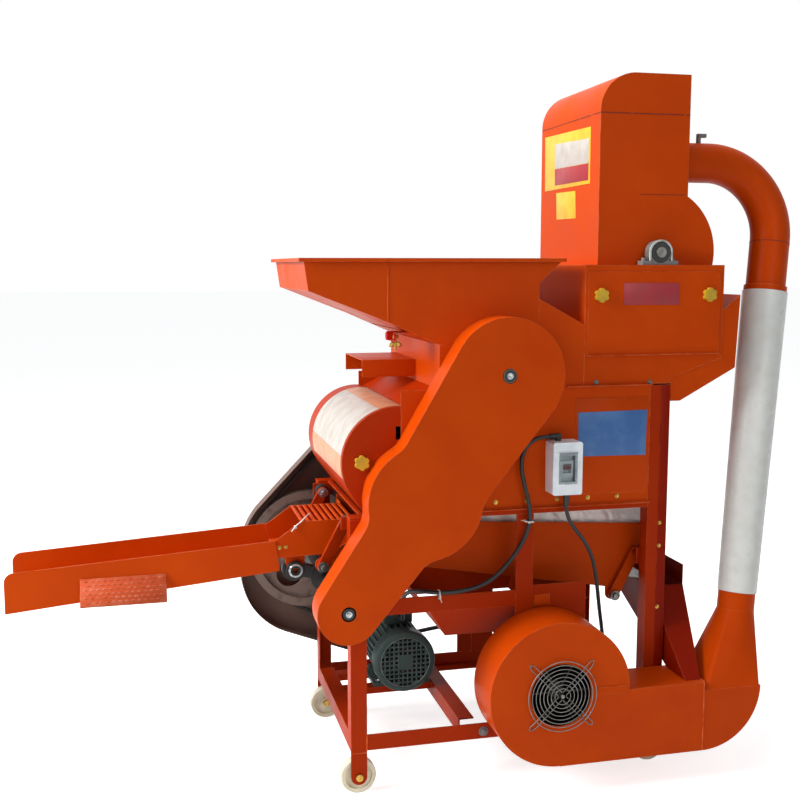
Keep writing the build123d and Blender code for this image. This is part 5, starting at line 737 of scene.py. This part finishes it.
solid_piece("pillow_rim", mesh, pale_iron, "frame")
mesh = bmesh.new()
front_disc(mesh, PILLOW_EYE, PILLOW_FRONT_Y - 0.6, 0.030, 0.0275, 0.0025, 40)
solid_piece("pillow_seal", mesh, blackened_steel_and_shade, "frame")
mesh = bmesh.new()
front_disc(mesh, PILLOW_EYE, 1.5, 0.0152, 0.0138, 0.003, 36)
disc_faces = [face for face in mesh.faces if len(face.verts) > 4 and face.normal.y < -0.9]
bmesh.ops.inset_region(mesh, faces=disc_faces, thickness=0.0105, depth=0.0)
bmesh.ops.inset_region(mesh, faces=disc_faces, thickness=0.0008, depth=-0.002)
solid_piece("second_shaft_end", mesh, oiled_steel, "second_rotor")


# Seams of the settling box: the cap laps over the box along a tacked joint, and a shorter joint runs over the
# round belly;
# the top elbow is welded up from two lengths. Their dark red strips are painted shade, the shadow line of
# each joint.
def bar(mesh, low, high):
    """Adds a square-cornered strip between two corners."""
    size = high - low
    stand = Matrix.Translation((low + high) / 2) @ Matrix.Diagonal((size.x, size.y, size.z, 1.0))
    bmesh.ops.create_cube(mesh, size=1.0, matrix=stand)


seam_shade = moulded("dark_red_seam_painted_shade", "#571504", "#6d1f08", 0.6)
CAP_SEAM_Z = 1868.0
mesh = bmesh.new()
for x0, x1 in ((715, 806), (812, 966), (972, 985)):
    bar(mesh, spot(x0, 44.2, CAP_SEAM_Z - 1), spot(x1, 45.4, CAP_SEAM_Z + 1))
for y0, y1 in ((45, 100), (110, 190), (198, 300), (306, 392), (400, 488)):
    bar(mesh, spot(714.2, y0, CAP_SEAM_Z - 1), spot(715.4, y1, CAP_SEAM_Z + 1))
bar(mesh, spot(839, 44.3, 1647), spot(974, 45.4, 1648.6))
solid_piece("settling_seams", mesh, seam_shade, "frame")
mesh = bmesh.new()
strap(mesh, spot(1300.5, 127.4, 1515), Vector((0.134, 0.120, 0.984)).normalized(), BACKWARD, 0.0574, 0.0574,
      0.0016, 0.0006)
solid_piece("elbow_seam", mesh, seam_shade, "frame")


# The pressed lip on the trough: a strip of tread sheet with rows of raised dashes, hooked over the near wall.
# Its paint is paler than the trough's.
pale_orange = enamel("pale_orange_enamel", "#a8401f", "#b84e2c", "#e8a184", 0.45)
LIP_X = (-707.0, -479.0)
LIP_HINGE = (181.0, 610.8)
LIP_RUN = Vector((0.0, -45.0, -66.0))
lip_out = Vector((0.0, -66.0, 45.0)).normalized()
mesh = bmesh.new()
hinge = Vector((0.0, LIP_HINGE[0], LIP_HINGE[1]))
corners = [hinge + LIP_RUN * part + Vector((x, 0, 0)) for part, x in ((0.02, LIP_X[0]), (0.02, LIP_X[1]),
                                                                      (1.0, LIP_X[1]), (1.0, LIP_X[0]))]
plate(mesh, [spot(*corner) + lip_out * 0.0004 for corner in corners], lip_out, 0.0008)
DASH_ROWS = 6
DASH_STEP = 16.5
DASH_LENGTH = 11.0
dash_turn = Matrix((Vector((1, 0, 0)), LIP_RUN.normalized(), lip_out)).transposed().to_4x4()
for row in range(DASH_ROWS):
    x = LIP_X[0] + 9.0 + (DASH_STEP / 2 if row % 2 else 0.0)
    while x + DASH_LENGTH < LIP_X[1] - 4.0:
        middle = hinge + LIP_RUN * (0.12 + 0.15 * row) + Vector((x + DASH_LENGTH / 2, 0, 0))
        stand = Matrix.Translation(spot(*middle) + lip_out * 0.0012) @ dash_turn
        stand = stand @ Matrix.Diagonal((0.0055, 0.0016, 0.0011, 1.0))
        bmesh.ops.create_uvsphere(mesh, u_segments=8, v_segments=5, radius=1.0, matrix=stand)
        x += DASH_STEP
solid_piece("pressed_lip", mesh, pale_orange, "sieve")


# Rocker and frame bolts: plain steel hexagon bolts with broad washers, dull with oil and paint.
# They hold the rockers on their lower pins, the chamber on the deck and the rails on the frame.
PIN_BOLT = 0.017
mesh = bmesh.new()
for x, z in ((-59, 629), (807, 487)):
    bolt_head(mesh, spot(x, 75.2, z), FORWARD, PIN_BOLT)
solid_piece("rocker_foot_bolts", mesh, oiled_steel, "sieve")
mesh = bmesh.new()
for x, z in ((699, 1128), (862, 1125)):
    bolt_head(mesh, spot(x, 0, z), FORWARD, 0.008)
bolt_head(mesh, spot(380, 0, 146), FORWARD, 0.016)
solid_piece("frame_front_bolts", mesh, iron, "frame")


# The lever on the top elbow: a short angled strip of flat iron with broken edges.
# It is fixed to the end of a spindle, and turns a small air flap inside the elbow.
mesh = bmesh.new()
bar(mesh, spot(1068, 149, 1800), spot(1077, 163, 1832))
bar(mesh, spot(1077, 149, 1821), spot(1095, 163, 1832))
soften(mesh, mesh.edges[:], 0.001)
solid_piece("elbow_lever", mesh, iron, "frame")


# Weld beads: short runs of stacked ripples, laid by hand with an arc where ducts and rails meet.
# They were not ground off, and are sprayed over with the rest.
def weld_bead(mesh, start, end, width):
    """Adds a bead of overlapping ripples between two places."""
    run = end - start
    count = max(2, int(run.length / (width * 0.55)))
    turn = pointed(run)
    for index in range(count + 1):
        swell = 0.42 + 0.12 * noise.noise(start * 31.0 + Vector((index * 0.7, 0.0, 0.0)))
        stand = Matrix.Translation(start + run * index / count) @ turn
        stand = stand @ Matrix.Diagonal((width * swell, width * swell, width * 0.5, 1.0))
        bmesh.ops.create_uvsphere(mesh, u_segments=8, v_segments=5, radius=1.0, matrix=stand)


mesh = bmesh.new()
weld_bead(mesh, spot(980, -149, 93), spot(980, -149, 290), 0.005)
weld_bead(mesh, spot(980, -147, 292), spot(980, -6, 292), 0.005)
weld_bead(mesh, spot(3, 0, 119), spot(42, 0, 119), 0.004)
weld_bead(mesh, spot(45, 0, 128), spot(45, 0, 167), 0.006)
weld_bead(mesh, spot(45, 0, 506), spot(45, 0, 548), 0.006)
solid_piece("weld_beads", mesh, orange, "frame")


# Lapped sheets: the right half of the box front and the post's face strip are screwed over the sheet behind,
# and a vertical seam strip covers the joint between the hopper's tray and its bowl.
SHEET_THICK = 0.0012
mesh = bmesh.new()
front_plate(mesh, 0, ((640, 1084), (858, 1084), (858, 812), (640, 812)), SHEET_THICK)
front_plate(mesh, 4, ((526, 531), (574, 531), (574, 500), (526, 500)), SHEET_THICK)
front_plate(mesh, 0, ((103, 1464), (109, 1464), (109, 1306), (103, 1306)), SHEET_THICK)
solid_piece("lapped_sheets", mesh, orange, "frame")
mesh = bmesh.new()
front_plate(mesh, FAN_FRONT_Y, ((657, 306), (746, 306), (744, 282), (655, 282)), 0.0025)
solid_piece("fan_lap", mesh, orange, "frame")
mesh = bmesh.new()
# The post's face strip takes the darkest copy of the enamel: painted shade on the right part of the post's
# front.
front_plate(mesh, 0, ((897, 1116), (925, 1116), (925, 172), (897, 172)), SHEET_THICK)
solid_piece("post_strip", mesh, orange_enamel_deep_shade, "frame")


# Rubber bushes: moulded sleeves on the rocker pins, and on the rod's pin under a bright retaining ring.
# They take up the swing of the sieve, so no oil is needed there.
def sleeve(mesh, x, y0, y1, z, radius, bore):
    """Adds a bush along the depth of the machine, with softened rims."""
    rim = [mesh.verts.new(spot(x + r, y, z)) for r, y in
           ((bore, y0), (radius - 2, y0), (radius, y0 + 2), (radius, y1 - 2), (radius - 2, y1), (bore, y1))]
    profile = mesh.faces.new(rim)
    bmesh.ops.spin(mesh, geom=[profile], cent=spot(x, 0, z), axis=(0, -1, 0), angle=2 * math.pi, steps=32,
                   use_merge=True)
    bmesh.ops.delete(mesh, geom=[face for face in mesh.faces if len(face.verts) > 4], context="FACES_ONLY")


mesh = bmesh.new()
for near_y, far_y in ((53, 82), (488, 517)):
    sleeve(mesh, 7, near_y, far_y, 754, 19, 12.5)
solid_piece("rocker_bushes", mesh, rubber, "frame")
mesh = bmesh.new()
bolt_head(mesh, spot(7, 465.5, 754), FORWARD, PIN_BOLT)
solid_piece("back_pin_bolt", mesh, zinc, "frame")
ROD_PIN_X = -112.0
ROD_PIN_Z = 575.0
mesh = bmesh.new()
sleeve(mesh, ROD_PIN_X, 250, 261.5, ROD_PIN_Z, 27, 8)
solid_piece("rod_pin_bush", mesh, rubber, "sieve")
mesh = bmesh.new()
sleeve(mesh, ROD_PIN_X, 247.5, 250.2, ROD_PIN_Z, 21, 15)
solid_piece("rod_pin_ring", mesh, zinc, "sieve")


# The cowl's rim: a rolled wire edge of mild steel round the pressed grid of the motor's fan cowl.
# Its enamel is paler: partly worn where the rim rubs, and partly a painted highlight along the rolled edge.
COWL_EYE = (225.0, 256.0)
COWL_FACE_Y = 289.4
COWL_RIM_R = 76.0
mesh = bmesh.new()
bent_wire(mesh, hoop(COWL_EYE, COWL_FACE_Y, COWL_RIM_R, 64), 0.003, True)
pale_motor = enamel("pale_motor_enamel_and_highlight", "#59665f", "#69766f", "#a3ada8", 0.4)
solid_piece("cowl_rim", mesh, pale_motor, "frame")


# The neck's tie and screws: a white nylon strap pulled over the near wall of the slatted neck, with its
# lock standing off, and two yellow screws that join the neck to the trough.
mesh = bmesh.new()
bent_wire(mesh, [spot(-70, 246, 743), spot(-82, 216, 744), spot(-94, 188, 743), spot(-104, 182.5, 735),
                 spot(-120, 182, 723)], 0.004)
tie_lock(mesh, spot(-121, 181, 721), Vector((-0.012, -0.004, -0.012)), 0.008)
solid_piece("neck_tie", mesh, tie_nylon, "sieve")
mesh = bmesh.new()
for x, z in ((-166, 663), (-148, 664)):
    bolt_head(mesh, spot(x, 185, z), FORWARD, SHEET_SCREW)
solid_piece("neck_screws", mesh, brass_zinc, "sieve")


# The gate's clamp: a yellow passivated steel screw that hangs from the feed gate's tail.
# A hexagon nut holds it, and a cast wing nut below locks the slide.
CLAMP_X = 133.0
CLAMP_Y = 34.0
mesh = bmesh.new()
bmesh.ops.create_cone(mesh, cap_ends=True, segments=16, radius1=0.0035, radius2=0.0035, depth=0.046,
                      matrix=Matrix.Translation(spot(CLAMP_X, CLAMP_Y, 1250)))
bmesh.ops.create_cone(mesh, cap_ends=True, segments=6, radius1=0.010, radius2=0.009, depth=0.009,
                      matrix=Matrix.Translation(spot(CLAMP_X, CLAMP_Y, 1262)))
for side in (-1, 1):
    wing = Matrix.Translation(spot(CLAMP_X + 9 * side, CLAMP_Y, 1241)) @ Matrix.Rotation(0.5 * side, 4, "Y")
    bmesh.ops.create_uvsphere(mesh, u_segments=12, v_segments=8, radius=1.0,
                              matrix=wing @ Matrix.Diagonal((0.010, 0.003, 0.006, 1.0)))
solid_piece("gate_clamp", mesh, brass_zinc, "feed_gate")
